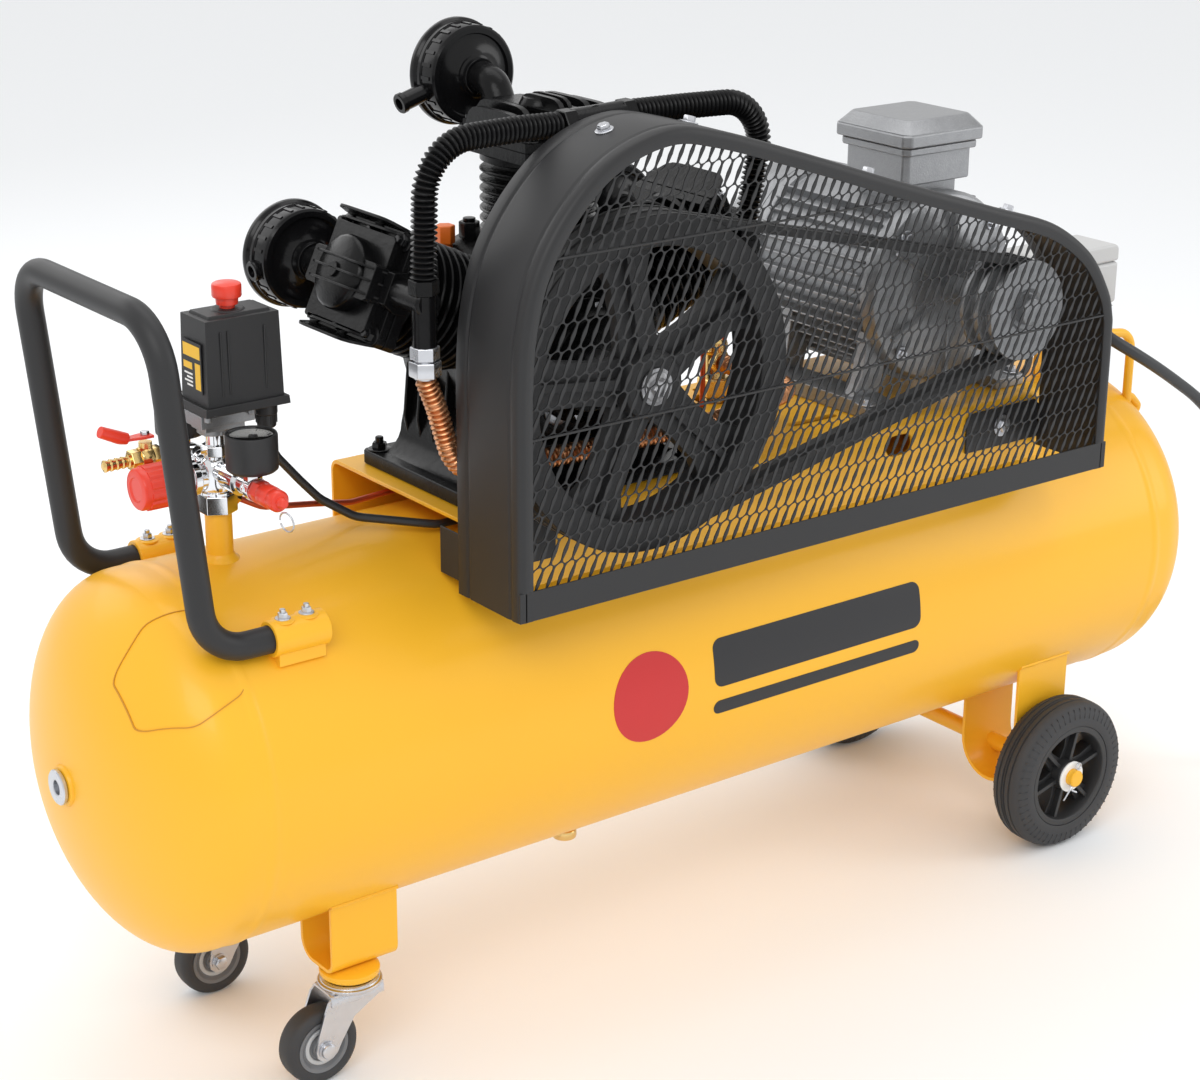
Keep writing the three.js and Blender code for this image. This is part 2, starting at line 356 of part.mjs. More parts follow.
// ---------------------------------------------------------------- flywheel, motor, belts
const beltRim = R => {       // rim section between y limits with a groove for each belt
  const lo = R - BELT_OUT - BELT_T - 0.8, p = [[R, FLY_Y0]];
  for (const y of BELT_Y) p.push([R, y - BELT_W / 2 - 0.8], [lo, y - BELT_W / 2 - 0.8], [lo, y + BELT_W / 2 + 0.8], [R, y + BELT_W / 2 + 0.8]);
  p.push([R, FLY_Y1]);
  return p;
};
{
  const yc = (FLY_Y0 + FLY_Y1) / 2;
  let f = solid(turned([[124, FLY_Y0], ...beltRim(FLY_R), [124, FLY_Y1], [124, FLY_Y0]], [CRANK_X, 0, CRANK_Z], [0, 1, 0], 28));
  f = f.add(solid(rod([CRANK_X, FLY_Y0, CRANK_Z], [CRANK_X, FLY_Y1, CRANK_Z], 30, 24)));
  for (let i = 0; i < 5; i++) {
    const a = (2 * Math.PI * i) / 5 + 0.5, c = Math.cos(a), s = Math.sin(a), p = (r, w) => [CRANK_X + r * c - w * s, CRANK_Z + r * s + w * c];
    f = f.add(solid(slabY([p(20, -20), p(128, -26), p(128, 26), p(20, 20)], yc - 9, yc + 9)));
  }
  f = f.subtract(solid(rod([CRANK_X, -220, CRANK_Z], [CRANK_X, -120, CRANK_Z], 15.3, 20)));
  add('flywheel', f, charcoal);
}
{
  let m = solid(turned([[0, -93], [62, -93], [MOTOR_R - 4, -82], [MOTOR_R, -76], [MOTOR_R, 112], [96, 116], [96, 158], [80, 165], [0, 165]], [MOTOR_X, 0, MOTOR_Z], [0, 1, 0], 22));
  for (const s of [-1, 1]) m = m.add(solid(box(MOTOR_X + s * 91 - 20, MOTOR_X + s * 91 + 20, -96, 96, PLATE_Z + GAP, PLATE_Z + 12))).add(solid(box(MOTOR_X + s * 76 - 8, MOTOR_X + s * 76 + 8, -70, 80, PLATE_Z + 8, 570)));
  m = m.add(solid(box(258, 335, -58, 14, 700, 733)));
  m = m.subtract(solid(rod([MOTOR_X, -100, MOTOR_Z], [MOTOR_X, 60, MOTOR_Z], 14.3, 18)));
  add('motor_body', m, alu);
}
add('motor_pulley', join(solid(turned([[0, FLY_Y0], ...beltRim(PULLEY_R), [0, FLY_Y1]], [MOTOR_X, 0, MOTOR_Z], [0, 1, 0], 18)), solid(rod([MOTOR_X, -206, MOTOR_Z], [MOTOR_X, 56, MOTOR_Z], 14, 12))), alu);
add('terminal_box', join(solid(box(250, 343, -67, 23, 733.3, 773)), solid(box(241, 352, -77, 33, 771, 788)), solid(turned([[0, 0], [69, 0], [54, 12], [0, 12]], [296.5, -22, 787.5], [0, 0, 1], 8))), alu);
{
  // open belt round the two rims
  const loop = off => {
    const r1 = FLY_R - BELT_OUT - off, r2 = PULLEY_R - BELT_OUT - off, dx = MOTOR_X - CRANK_X, dz = MOTOR_Z - CRANK_Z, D = Math.hypot(dx, dz), b = Math.atan2(dz, dx), t = Math.asin((FLY_R - PULLEY_R) / D);
    const pts = [];
    for (let i = 0; i <= 30; i++) { const a = b + Math.PI / 2 - t + (i / 30) * (Math.PI + 2 * t); pts.push([CRANK_X + r1 * Math.cos(a), CRANK_Z + r1 * Math.sin(a)]); }
    for (let i = 0; i <= 14; i++) { const a = b - Math.PI / 2 + t + (i / 14) * (Math.PI - 2 * t); pts.push([MOTOR_X + r2 * Math.cos(a), MOTOR_Z + r2 * Math.sin(a)]); }
    return pts;
  };
  BELT_Y.forEach((y, i) => {
    const o = solid(slabY(loop(0).reverse(), y - BELT_W / 2, y + BELT_W / 2)), n = solid(slabY(loop(BELT_T).reverse(), y - BELT_W / 2 - 1, y + BELT_W / 2 + 1));
    add('v_belt_' + (i ? 'rear' : 'front'), o.subtract(n), rubber);
  });
}

// ---------------------------------------------------------------- belt guard
const GUARD = [[-326, 652], [-322, 702], [-309, 752], [-284, 794], [-243, 834], [-202, 854], [-159, 861], [-115, 853], [-24, 825], [98, 784], [230, 742], [315, 714], [361, 684], [379, 665], [392, 645], [400, 630], [406, 606]];
function guardOutline(off, z0) {
  const mid = new THREE.CatmullRomCurve3(GUARD.map(([x, z]) => new THREE.Vector3(x, 0, z)), false, 'centripetal').getPoints(30).map(p => [p.x, p.z]);
  const P = [[GUARD_X0, z0], ...mid, [GUARD_X1, z0]];
  const Q = P.map((p, i) => {
    const a = P[Math.max(0, i - 1)], b = P[Math.min(P.length - 1, i + 1)];
    const d1 = [p[0] - a[0], p[1] - a[1]], d2 = [b[0] - p[0], b[1] - p[1]];
    const u = i === 0 ? d2 : i === P.length - 1 ? d1 : [d1[0] / Math.hypot(...d1) + d2[0] / Math.hypot(...d2), d1[1] / Math.hypot(...d1) + d2[1] / Math.hypot(...d2)];
    const L = Math.hypot(...u), n = [u[1] / L, -u[0] / L];
    return [p[0] + n[0] * off, p[1] + n[1] * off];
  });
  return Q.reverse();
}
{
  let g = solid(slabY(guardOutline(0, GUARD_Z0), GUARD_Y0, GUARD_Y1));
  g = g.subtract(solid(slabY(guardOutline(SHEET, GUARD_Z0 - 20), GUARD_Y0 + SHEET, GUARD_Y1 + 20)));
  g = g.subtract(solid(slabY(guardOutline(14, GUARD_Z0 + 27), GUARD_Y0 - 5, GUARD_Y0 + 10)));
  g = g.add(solid(box(GUARD_X0, GUARD_X0 + SHEET, GUARD_Y1 - 1, -93, 462, 506)));
  g = g.add(solid(box(GUARD_X0 + 1, -218, GUARD_Y1 - 1.5, -120.3, 462, 502)));
  g = g.add(solid(box(300, GUARD_X1 - 1, GUARD_Y1 - 1.5, -120.3, 460, 502)));
  add('guard_shell', g, charcoal);
  add('guard_mesh', solid(slabY(guardOutline(SHEET + 0.6, GUARD_Z0 + 2), GUARD_Y0 + SHEET + GAP, GUARD_Y0 + SHEET + GAP + 1.5)), charcoal);
}

// ---------------------------------------------------------------- starter box and power cable
add('starter_box', join(solid(box(470, 597, -50, 10, 560, 622)), solid(box(474, 593, -46, 6, 556, 626)), solid(turned([[0, 0], [13, 0], [13, 8], [10, 9], [10, 16], [8, 30], [0, 30]], [485, -49, 576], [0, -1, 0], 16))), grey);
const CORD = [[485, -81.2, 576], [486, -98, 572], [492, -116, 562], [505, -131, 549], [530, -139, 533], [560, -141, 515], [600, -141, 490], [640, -140, 463], [676, -139.5, 430], [703, -140, 389], [719, -142, 342], [727, -145, 290], [731, -149, 236], [734, -153, 182], [737, -157.5, 130], [742, -163, 84], [753, -168, 46], [769, -175.5, 22], [790, -186.5, 10], [812.3, -199.3, 6.6], [833.05, -211.3, CORD_R]];
const COIL_X = 880, COIL_Y = -130, COIL_RM = 71.5;
add('power_cable', solid(pipe(CORD, CORD_R - 0.05, 8)), plasticK);
add('cable_coil', solid(turned([[COIL_RM - 14, 0], [COIL_RM + 14, 0], [COIL_RM + 14, 27], [COIL_RM - 14, 27], [COIL_RM - 14, 0]], [COIL_X, COIL_Y, 0], [0, 0, 1], 24)), plasticK);
{
  const x = COIL_X + 78.5;
  let p = join(solid(rod([x, COIL_Y + 50, 19.5], [x, COIL_Y + 68, 19.5], 8, 12)), solid(rod([x, COIL_Y + 67, 19.5], [x, COIL_Y + 122, 19.5], 19.5, 20)));
  for (const [dx, dz] of [[0, 9], [-8, -5], [8, -5]]) p = p.add(solid(rod([x + dx, COIL_Y + 120, 19.5 + dz], [x + dx, COIL_Y + 140, 19.5 + dz], 2.4, 8)));
  add('power_plug', p, plasticK);
}

export default part;
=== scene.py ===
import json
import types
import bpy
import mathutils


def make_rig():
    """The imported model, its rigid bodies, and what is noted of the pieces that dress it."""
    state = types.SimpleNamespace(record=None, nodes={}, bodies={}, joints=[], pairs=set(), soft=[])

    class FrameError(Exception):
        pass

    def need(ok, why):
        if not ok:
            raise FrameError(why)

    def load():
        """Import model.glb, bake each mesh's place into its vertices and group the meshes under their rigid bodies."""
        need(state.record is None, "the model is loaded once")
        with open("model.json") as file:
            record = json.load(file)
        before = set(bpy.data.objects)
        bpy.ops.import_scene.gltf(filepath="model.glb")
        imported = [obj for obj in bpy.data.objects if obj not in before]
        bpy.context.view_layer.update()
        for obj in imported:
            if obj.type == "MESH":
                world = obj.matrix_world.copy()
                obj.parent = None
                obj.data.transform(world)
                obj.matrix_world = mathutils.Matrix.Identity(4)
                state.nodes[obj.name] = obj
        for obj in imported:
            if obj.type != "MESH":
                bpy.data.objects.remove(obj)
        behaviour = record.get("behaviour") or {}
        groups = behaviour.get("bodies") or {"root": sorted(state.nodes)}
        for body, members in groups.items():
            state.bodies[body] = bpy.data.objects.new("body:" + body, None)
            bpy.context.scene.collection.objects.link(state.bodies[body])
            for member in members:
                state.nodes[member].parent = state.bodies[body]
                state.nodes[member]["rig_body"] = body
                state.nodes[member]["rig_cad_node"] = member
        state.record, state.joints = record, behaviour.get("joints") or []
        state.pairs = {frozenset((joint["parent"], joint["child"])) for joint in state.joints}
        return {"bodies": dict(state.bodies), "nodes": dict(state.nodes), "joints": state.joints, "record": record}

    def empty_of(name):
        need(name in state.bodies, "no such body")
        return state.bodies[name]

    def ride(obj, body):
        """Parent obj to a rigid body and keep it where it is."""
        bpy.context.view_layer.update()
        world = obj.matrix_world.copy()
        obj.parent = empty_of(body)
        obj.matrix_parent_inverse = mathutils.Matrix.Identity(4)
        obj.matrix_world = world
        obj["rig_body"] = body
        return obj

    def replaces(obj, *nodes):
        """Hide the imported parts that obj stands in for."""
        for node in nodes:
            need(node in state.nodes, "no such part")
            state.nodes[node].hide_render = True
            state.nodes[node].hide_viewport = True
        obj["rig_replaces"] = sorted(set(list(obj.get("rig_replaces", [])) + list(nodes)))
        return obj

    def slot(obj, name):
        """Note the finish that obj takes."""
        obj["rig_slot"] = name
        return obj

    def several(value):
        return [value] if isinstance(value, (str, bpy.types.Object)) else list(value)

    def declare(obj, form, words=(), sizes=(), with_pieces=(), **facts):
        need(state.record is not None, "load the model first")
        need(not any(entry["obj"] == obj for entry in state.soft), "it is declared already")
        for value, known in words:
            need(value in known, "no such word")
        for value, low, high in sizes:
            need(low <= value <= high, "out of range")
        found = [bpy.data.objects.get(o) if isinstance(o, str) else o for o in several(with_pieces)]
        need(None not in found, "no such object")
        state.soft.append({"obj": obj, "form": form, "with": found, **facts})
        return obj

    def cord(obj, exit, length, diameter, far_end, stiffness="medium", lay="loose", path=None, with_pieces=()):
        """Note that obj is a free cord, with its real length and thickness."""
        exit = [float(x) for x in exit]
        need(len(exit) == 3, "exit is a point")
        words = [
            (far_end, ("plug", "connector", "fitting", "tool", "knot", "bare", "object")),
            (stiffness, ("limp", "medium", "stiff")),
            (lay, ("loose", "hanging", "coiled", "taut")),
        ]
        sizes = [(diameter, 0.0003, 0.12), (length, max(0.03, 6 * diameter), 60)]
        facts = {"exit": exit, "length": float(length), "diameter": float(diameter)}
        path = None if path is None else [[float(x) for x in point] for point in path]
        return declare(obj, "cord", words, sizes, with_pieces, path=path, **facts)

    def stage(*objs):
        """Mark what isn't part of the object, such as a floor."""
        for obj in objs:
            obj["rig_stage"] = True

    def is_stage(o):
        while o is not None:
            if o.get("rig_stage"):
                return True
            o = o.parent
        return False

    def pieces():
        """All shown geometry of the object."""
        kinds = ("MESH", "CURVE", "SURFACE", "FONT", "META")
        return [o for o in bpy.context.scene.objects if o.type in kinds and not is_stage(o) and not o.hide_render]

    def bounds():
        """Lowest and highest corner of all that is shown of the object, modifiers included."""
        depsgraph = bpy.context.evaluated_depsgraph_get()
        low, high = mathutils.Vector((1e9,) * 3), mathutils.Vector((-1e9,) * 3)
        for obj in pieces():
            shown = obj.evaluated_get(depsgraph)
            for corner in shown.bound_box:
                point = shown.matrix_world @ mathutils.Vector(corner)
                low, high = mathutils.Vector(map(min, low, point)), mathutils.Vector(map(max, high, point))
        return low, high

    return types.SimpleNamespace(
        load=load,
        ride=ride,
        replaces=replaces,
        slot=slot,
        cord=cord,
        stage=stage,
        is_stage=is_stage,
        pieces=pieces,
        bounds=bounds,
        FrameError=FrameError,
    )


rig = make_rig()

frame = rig.load()
import bpy, bmesh, math, json
from mathutils import Vector, Matrix, Quaternion

CAD_BOX = [[float(c) for c in v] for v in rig.bounds()]
SX, SY = 3.5, 10.0                      # the model is moved by this much from the receiver's own centre, mm
pi, sin, cos, rad = math.pi, math.sin, math.cos, math.radians


def P(x, y, z):
    return Vector(((x + SX) / 1000, (y + SY) / 1000, z / 1000))


# ------------------------------------------------------------------ camera
cam_d = bpy.data.cameras.new("camera")
cam = bpy.data.objects.new("camera", cam_d)
bpy.context.scene.collection.objects.link(cam)
cam_d.sensor_width = 36.0
cam_d.sensor_fit = "HORIZONTAL"
cam_d.lens = 74.668
cam_d.clip_end = 100
psi, th, rho = rad(52.802), rad(20.014), rad(0.349)
FW = Vector((cos(psi) * cos(th), sin(psi) * cos(th), -sin(th)))
R0 = Vector((sin(psi), -cos(psi), 0))
U0 = R0.cross(FW)
RR = R0 * cos(rho) + U0 * sin(rho)
UU = U0 * cos(rho) - R0 * sin(rho)
mm = Matrix((RR, UU, -FW)).transposed().to_4x4()
mm.translation = P(-1467.4, -1832.3, 1249.1)
cam.matrix_world = mm
bpy.context.scene.camera = cam


# ------------------------------------------------------------------ materials
def nt(name):
    m = bpy.data.materials.new(name)
    m.use_nodes = True
    t = m.node_tree
    return m, t, t.nodes["Principled BSDF"]


def make(name, col, rough=0.4, metal=0.0, coat=0.0, coat_rough=0.1, bump=0.0, bscale=400.0, var=0.08, vscale=9.0, rvar=0.06,
         spec=0.5, bump2=0.0, b2scale=60.0, dist=0.0004, speck=None, detail=4.0):
    m, t, b = nt(name)
    N, L = t.nodes, t.links
    b.inputs["Metallic"].default_value = metal
    b.inputs["Coat Weight"].default_value = coat
    b.inputs["Coat Roughness"].default_value = coat_rough
    b.inputs["Specular IOR Level"].default_value = spec
    tc = N.new("ShaderNodeTexCoord")
    n1 = N.new("ShaderNodeTexNoise"); n1.inputs["Scale"].default_value = vscale; n1.inputs["Detail"].default_value = 5.0
    L.new(tc.outputs["Object"], n1.inputs["Vector"])
    mix = N.new("ShaderNodeMix"); mix.data_type = "RGBA"
    c = Vector(col)
    mix.inputs[6].default_value = (*[max(0.0, x * (1 - var)) for x in c], 1)
    mix.inputs[7].default_value = (*[min(1.0, x * (1 + var)) for x in c], 1)
    L.new(n1.outputs["Fac"], mix.inputs[0])
    out = mix.outputs[2]
    if speck:
        n3 = N.new("ShaderNodeTexVoronoi"); n3.inputs["Scale"].default_value = speck[0]
        L.new(tc.outputs["Object"], n3.inputs["Vector"])
        rp = N.new("ShaderNodeMapRange")
        rp.inputs["From Min"].default_value = 0.0; rp.inputs["From Max"].default_value = speck[1]
        rp.inputs["To Min"].default_value = 1.0; rp.inputs["To Max"].default_value = 0.0
        L.new(n3.outputs["Distance"], rp.inputs["Value"])
        mx = N.new("ShaderNodeMix"); mx.data_type = "RGBA"
        L.new(rp.outputs["Result"], mx.inputs[0]); L.new(out, mx.inputs[6])
        mx.inputs[7].default_value = (*speck[2], 1)
        out = mx.outputs[2]
    L.new(out, b.inputs["Base Color"])
    n2 = N.new("ShaderNodeTexNoise"); n2.inputs["Scale"].default_value = bscale; n2.inputs["Detail"].default_value = detail
    L.new(tc.outputs["Object"], n2.inputs["Vector"])
    mr = N.new("ShaderNodeMapRange")
    mr.inputs["To Min"].default_value = max(0.02, rough - rvar); mr.inputs["To Max"].default_value = min(1.0, rough + rvar)
    L.new(n1.outputs["Fac"], mr.inputs["Value"])
    L.new(mr.outputs["Result"], b.inputs["Roughness"])
    nrm = None
    if bump2:
        n4 = N.new("ShaderNodeTexNoise"); n4.inputs["Scale"].default_value = b2scale; n4.inputs["Detail"].default_value = 2.0
        L.new(tc.outputs["Object"], n4.inputs["Vector"])
        bb = N.new("ShaderNodeBump"); bb.inputs["Strength"].default_value = bump2; bb.inputs["Distance"].default_value = 0.0012
        L.new(n4.outputs["Fac"], bb.inputs["Height"]); nrm = bb
    if bump:
        bp = N.new("ShaderNodeBump"); bp.inputs["Strength"].default_value = bump; bp.inputs["Distance"].default_value = dist
        L.new(n2.outputs["Fac"], bp.inputs["Height"])
        if nrm: L.new(nrm.outputs["Normal"], bp.inputs["Normal"])
        nrm = bp
    if nrm:
        L.new(nrm.outputs["Normal"], b.inputs["Normal"])
    return m


YEL = make("yellow_paint", (0.90, 0.462, 0.020), rough=0.40, coat=0.16, spec=0.36, coat_rough=0.14, bump=0.10, bscale=260, var=0.03, vscale=4, rvar=0.04, bump2=0.05, b2scale=22)
CHA = make("charcoal_paint", (0.024, 0.024, 0.025), rough=0.46, bump=0.18, bscale=900, var=0.12, vscale=14, rvar=0.05, spec=0.34)
CAST = make("black_cast", (0.0042, 0.0042, 0.0045), rough=0.25, coat=0.0, spec=0.19, coat_rough=0.14, bump=0.35, bscale=520, var=0.25, vscale=30, rvar=0.08, bump2=0.25, b2scale=120)
PIPE = make("black_pipe", (0.0065, 0.0065, 0.007), rough=0.30, spec=0.20, coat=0.0, bump=0.1, bscale=600, var=0.2)
GLOSSK = make("black_gloss", (0.0055, 0.0055, 0.006), rough=0.16, spec=0.24, coat=0.0, coat_rough=0.06, bump=0.05, bscale=300, var=0.15)
CHR = make("chrome", (0.78, 0.79, 0.81), rough=0.10, metal=1, bump=0.04, bscale=220, var=0.04, rvar=0.03)
ZINC = make("zinc", (0.60, 0.61, 0.64), rough=0.30, metal=1, bump=0.16, bscale=700, var=0.10, vscale=60, rvar=0.10)
STEEL = make("steel", (0.42, 0.42, 0.43), rough=0.34, metal=1, bump=0.1, bscale=900, var=0.1, vscale=40)
BRASS = make("brass", (0.78, 0.55, 0.22), rough=0.22, metal=1, bump=0.08, bscale=500, var=0.1, vscale=50, rvar=0.07)
COPPER = make("copper", (0.62, 0.30, 0.15), rough=0.30, metal=1, bump=0.1, bscale=500, var=0.25, vscale=45, rvar=0.1)
COPRED = make("copper_red", (0.50, 0.085, 0.04), rough=0.32, metal=0.6, bump=0.08, bscale=400, var=0.1)
RUB = make("tread_rubber", (0.034, 0.034, 0.036), rough=0.62, bump=0.3, bscale=900, var=0.15, vscale=24, rvar=0.08)
BELT = make("belt_rubber", (0.020, 0.020, 0.021), rough=0.6, bump=0.4, bscale=1500, var=0.15, vscale=30)
CABL = make("cable_rubber", (0.017, 0.018, 0.020), rough=0.42, bump=0.15, bscale=900, var=0.12, vscale=20)
RED = make("red_plastic", (0.78, 0.045, 0.020), rough=0.36, bump=0.1, bscale=700, var=0.05, vscale=20, coat=0.15)
ORG = make("orange_plastic", (0.85, 0.17, 0.015), rough=0.38, bump=0.1, bscale=700, var=0.06)
BPL = make("black_plastic", (0.016, 0.016, 0.017), rough=0.48, bump=0.35, bscale=1300, var=0.1, vscale=20)
GPL = make("grey_plastic", (0.50, 0.50, 0.495), rough=0.36, bump=0.1, bscale=900, var=0.04)
MOT = make("motor_alloy", (0.30, 0.305, 0.315), rough=0.40, metal=0.7, bump=0.75, bscale=520, var=0.18, vscale=90, rvar=0.14, speck=(900, 0.25, (0.62, 0.63, 0.65)))
HUB = make("hub_black", (0.022, 0.022, 0.023), rough=0.46, bump=0.2, bscale=1000, var=0.1)
HUBG = make("hub_grey", (0.16, 0.165, 0.175), rough=0.45, bump=0.2, bscale=900, var=0.1)
GREYL = make("hub_ring", (0.50, 0.51, 0.52), rough=0.4, bump=0.1, bscale=900, var=0.06)
DIAL = make("dial_white", (0.86, 0.86, 0.84), rough=0.4, var=0.02)
INK = make("ink_black", (0.012, 0.012, 0.014), rough=0.45, bump=0.05, bscale=500, var=0.1)
INKR = make("ink_red", (0.55, 0.018, 0.018), rough=0.4, bump=0.05, bscale=500, var=0.05)
LABY = make("label_yellow", (0.90, 0.52, 0.02), rough=0.4, var=0.04)
LINE = make("label_line", (0.55, 0.235, 0.01), rough=0.5, var=0.1)
glm, glt, glb = nt("lens_glass")
glb.inputs["Base Color"].default_value = (1, 1, 1, 1); glb.inputs["Roughness"].default_value = 0.03
glb.inputs["Transmission Weight"].default_value = 1.0; glb.inputs["IOR"].default_value = 1.45
LENS = glm


# ------------------------------------------------------------------ mesh kit (receiver millimetres)
def frame_for(d):
    d = Vector(d).normalized()
    a = Vector((0, 0, 1)) if abs(d.z) < 0.9 else Vector((1, 0, 0))
    u = a.cross(d).normalized()
    return u, d.cross(u), d


class K:
    def __init__(s):
        s.v, s.f, s.m, s.mi = [], [], [], 0

    def mat(s, i):
        s.mi = i
        return s

    def put(s, vs, fs):
        n = len(s.v)
        s.v += [tuple(v) for v in vs]
        s.f += [tuple(i + n for i in f) for f in fs]
        s.m += [s.mi] * len(fs)
        return s

    def lathe(s, prof, at, d, seg=48, start=0.0):
        u, w, d = frame_for(d)
        at = Vector(at)
        closed = prof[0] == prof[-1]
        pr = prof[:-1] if closed else prof
        vs, rows = [], []
        for r, h in pr:
            if r < 1e-6:
                rows.append([len(vs)] * seg); vs.append(at + d * h)
            else:
                row = []
                for i in range(seg):
                    a = start + 2 * pi * i / seg
                    row.append(len(vs)); vs.append(at + d * h + (u * cos(a) + w * sin(a)) * r)
                rows.append(row)
        fs = []
        n = len(rows)
        for k in range(n if closed else n - 1):
            A, B = rows[k], rows[(k + 1) % n]
            for i in range(seg):
                j = (i + 1) % seg
                q = [A[i], A[j], B[j], B[i]]
                q = [x for t, x in enumerate(q) if x not in q[:t]]
                if len(q) > 2:
                    fs.append(q)
        return s.put(vs, fs)

    def rod(s, a, b, r, seg=24, r2=None, c=0.0):
        a, b = Vector(a), Vector(b)
        L = (b - a).length
        r2 = r if r2 is None else r2
        if c:
            pr = [(0, 0), (r - c, 0), (r, c), (r2, L - c), (r2 - c, L), (0, L)]
        else:
            pr = [(0, 0), (r, 0), (r2, L), (0, L)]
        return s.lathe(pr, a, b - a, seg)

    def hexa(s, a, b, r, c=1.0, start=0.0):
        a, b = Vector(a), Vector(b)
        L = (b - a).length
        return s.lathe([(0, 0), (r * 0.94, 0), (r, c), (r, L - c), (r * 0.94, L), (0, L)], a, b - a, 6, start)

    def box(s, x0, x1, y0, y1, z0, z1, xf=None):
        c = [(x0, y0, z0), (x1, y0, z0), (x1, y1, z0), (x0, y1, z0), (x0, y0, z1), (x1, y0, z1), (x1, y1, z1), (x0, y1, z1)]
        if xf: c = [xf(*p) for p in c]
        return s.put(c, [(0, 3, 2, 1), (4, 5, 6, 7), (0, 1, 5, 4), (1, 2, 6, 5), (2, 3, 7, 6), (3, 0, 4, 7)])

    def prism(s, pts, ax, a, b, xf=None):
        """an outline in the two other axes, between a and b along ax"""
        def at(p, t):
            q = {"x": (t, p[0], p[1]), "y": (p[0], t, p[1]), "z": (p[0], p[1], t)}[ax]
            return xf(*q) if xf else q
        n = len(pts)
        vs = [at(p, a) for p in pts] + [at(p, b) for p in pts]
        fs = [tuple(range(n))[::-1], tuple(range(n, 2 * n))]
        fs += [(i, (i + 1) % n, n + (i + 1) % n, n + i) for i in range(n)]
        return s.put(vs, fs)

    def sweep(s, pts, r, sides=16, flat=None):
        p = [Vector(q) for q in pts]
        n = len(p)
        t = [(p[min(i + 1, n - 1)] - p[max(i - 1, 0)]).normalized() for i in range(n)]
        u = frame_for(t[0])[0]
        vs, fs, s0 = [], [], 0.0
        for i in range(n):
            if i:
                s0 += (p[i] - p[i - 1]).length
                u = (u - t[i] * u.dot(t[i])).normalized()
            w = t[i].cross(u)
            R = r(s0) if callable(r) else r
            for k in range(sides):
                a = 2 * pi * k / sides
                vs.append(p[i] + u * (R * cos(a)) + w * (R * sin(a)))
        for i in range(n - 1):
            for k in range(sides):
                j = (k + 1) % sides
                fs.append((i * sides + k, i * sides + j, (i + 1) * sides + j, (i + 1) * sides + k))
        fs.append(tuple(range(sides))[::-1]); fs.append(tuple((n - 1) * sides + k for k in range(sides)))
        return s.put(vs, fs)

    def obj(s, name, mats, body="root", rep=(), bevel=0.0, seg=2, ang=34, sharp=34, sub=0, slot=None):
        me = bpy.data.meshes.new(name)
        me.from_pydata([tuple(P(*v)) for v in s.v], [], s.f)
        for m in (mats if isinstance(mats, (list, tuple)) else [mats]):
            me.materials.append(m)
        me.polygons.foreach_set("material_index", s.m)
        bm = bmesh.new(); bm.from_mesh(me)
        bmesh.ops.remove_doubles(bm, verts=bm.verts, dist=2e-6)
        bmesh.ops.recalc_face_normals(bm, faces=bm.faces)
        bm.to_mesh(me); bm.free()
        me.polygons.foreach_set("use_smooth", [True] * len(me.polygons))
        if not bevel:
            me.set_sharp_from_angle(angle=rad(sharp))
        o = bpy.data.objects.new(name, me)
        bpy.context.scene.collection.objects.link(o)
        if bevel:
            b = o.modifiers.new("edge", "BEVEL")
            b.width = bevel / 1000; b.segments = seg; b.limit_method = "ANGLE"; b.angle_limit = rad(ang); b.harden_normals = True
        if sub:
            q = o.modifiers.new("sub", "SUBSURF"); q.levels = sub; q.render_levels = sub
        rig.ride(o, body)
        if rep:
            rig.replaces(o, *rep)
        if slot:
            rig.slot(o, slot)
        return o


def cutwith(o, k):
    c = k.obj("cutter_tmp", INK, "root")
    c.data.update()
    md = o.modifiers.new("cut", "BOOLEAN"); md.object = c; md.operation = "DIFFERENCE"; md.solver = "EXACT"
    while o.modifiers[0].name != "cut":
        i = [m.name for m in o.modifiers].index("cut")
        o.modifiers.move(i, i - 1)
    keep = [m for m in o.modifiers if m.name != "cut"]
    for m in keep: m.show_viewport = False
    bpy.context.view_layer.update()
    dg = bpy.context.evaluated_depsgraph_get()
    me = bpy.data.meshes.new_from_object(o.evaluated_get(dg))
    old = o.data
    o.modifiers.remove(o.modifiers["cut"])
    o.data = me
    me.name = o.name
    for m in keep: m.show_viewport = True
    bpy.data.objects.remove(c)
    return o


def fillet(pts, R, per=8):
    p = [Vector(q) for q in pts]
    out = [p[0]]
    for i in range(1, len(p) - 1):
        r = R[i - 1] if isinstance(R, (list, tuple)) else R
        u, v = (p[i - 1] - p[i]), (p[i + 1] - p[i])
        lu, lv = u.length, v.length
        u, v = u / lu, v / lv
        half = math.acos(max(-1, min(1, u.dot(v)))) / 2
        if half > 1.55:
            out.append(p[i]); continue
        t = min(r / math.tan(half), 0.49 * lu, 0.49 * lv)
        rr = t * math.tan(half)
        c = p[i] + (u + v).normalized() * (rr / sin(half))
        A, B = p[i] + u * t - c, p[i] + v * t - c
        ang = A.angle(B)
        for k in range(per + 1):
            w = k / per
            out.append((A * (sin((1 - w) * ang) / sin(ang)) + B * (sin(w * ang) / sin(ang))) + c)
    out.append(p[-1])
    return out


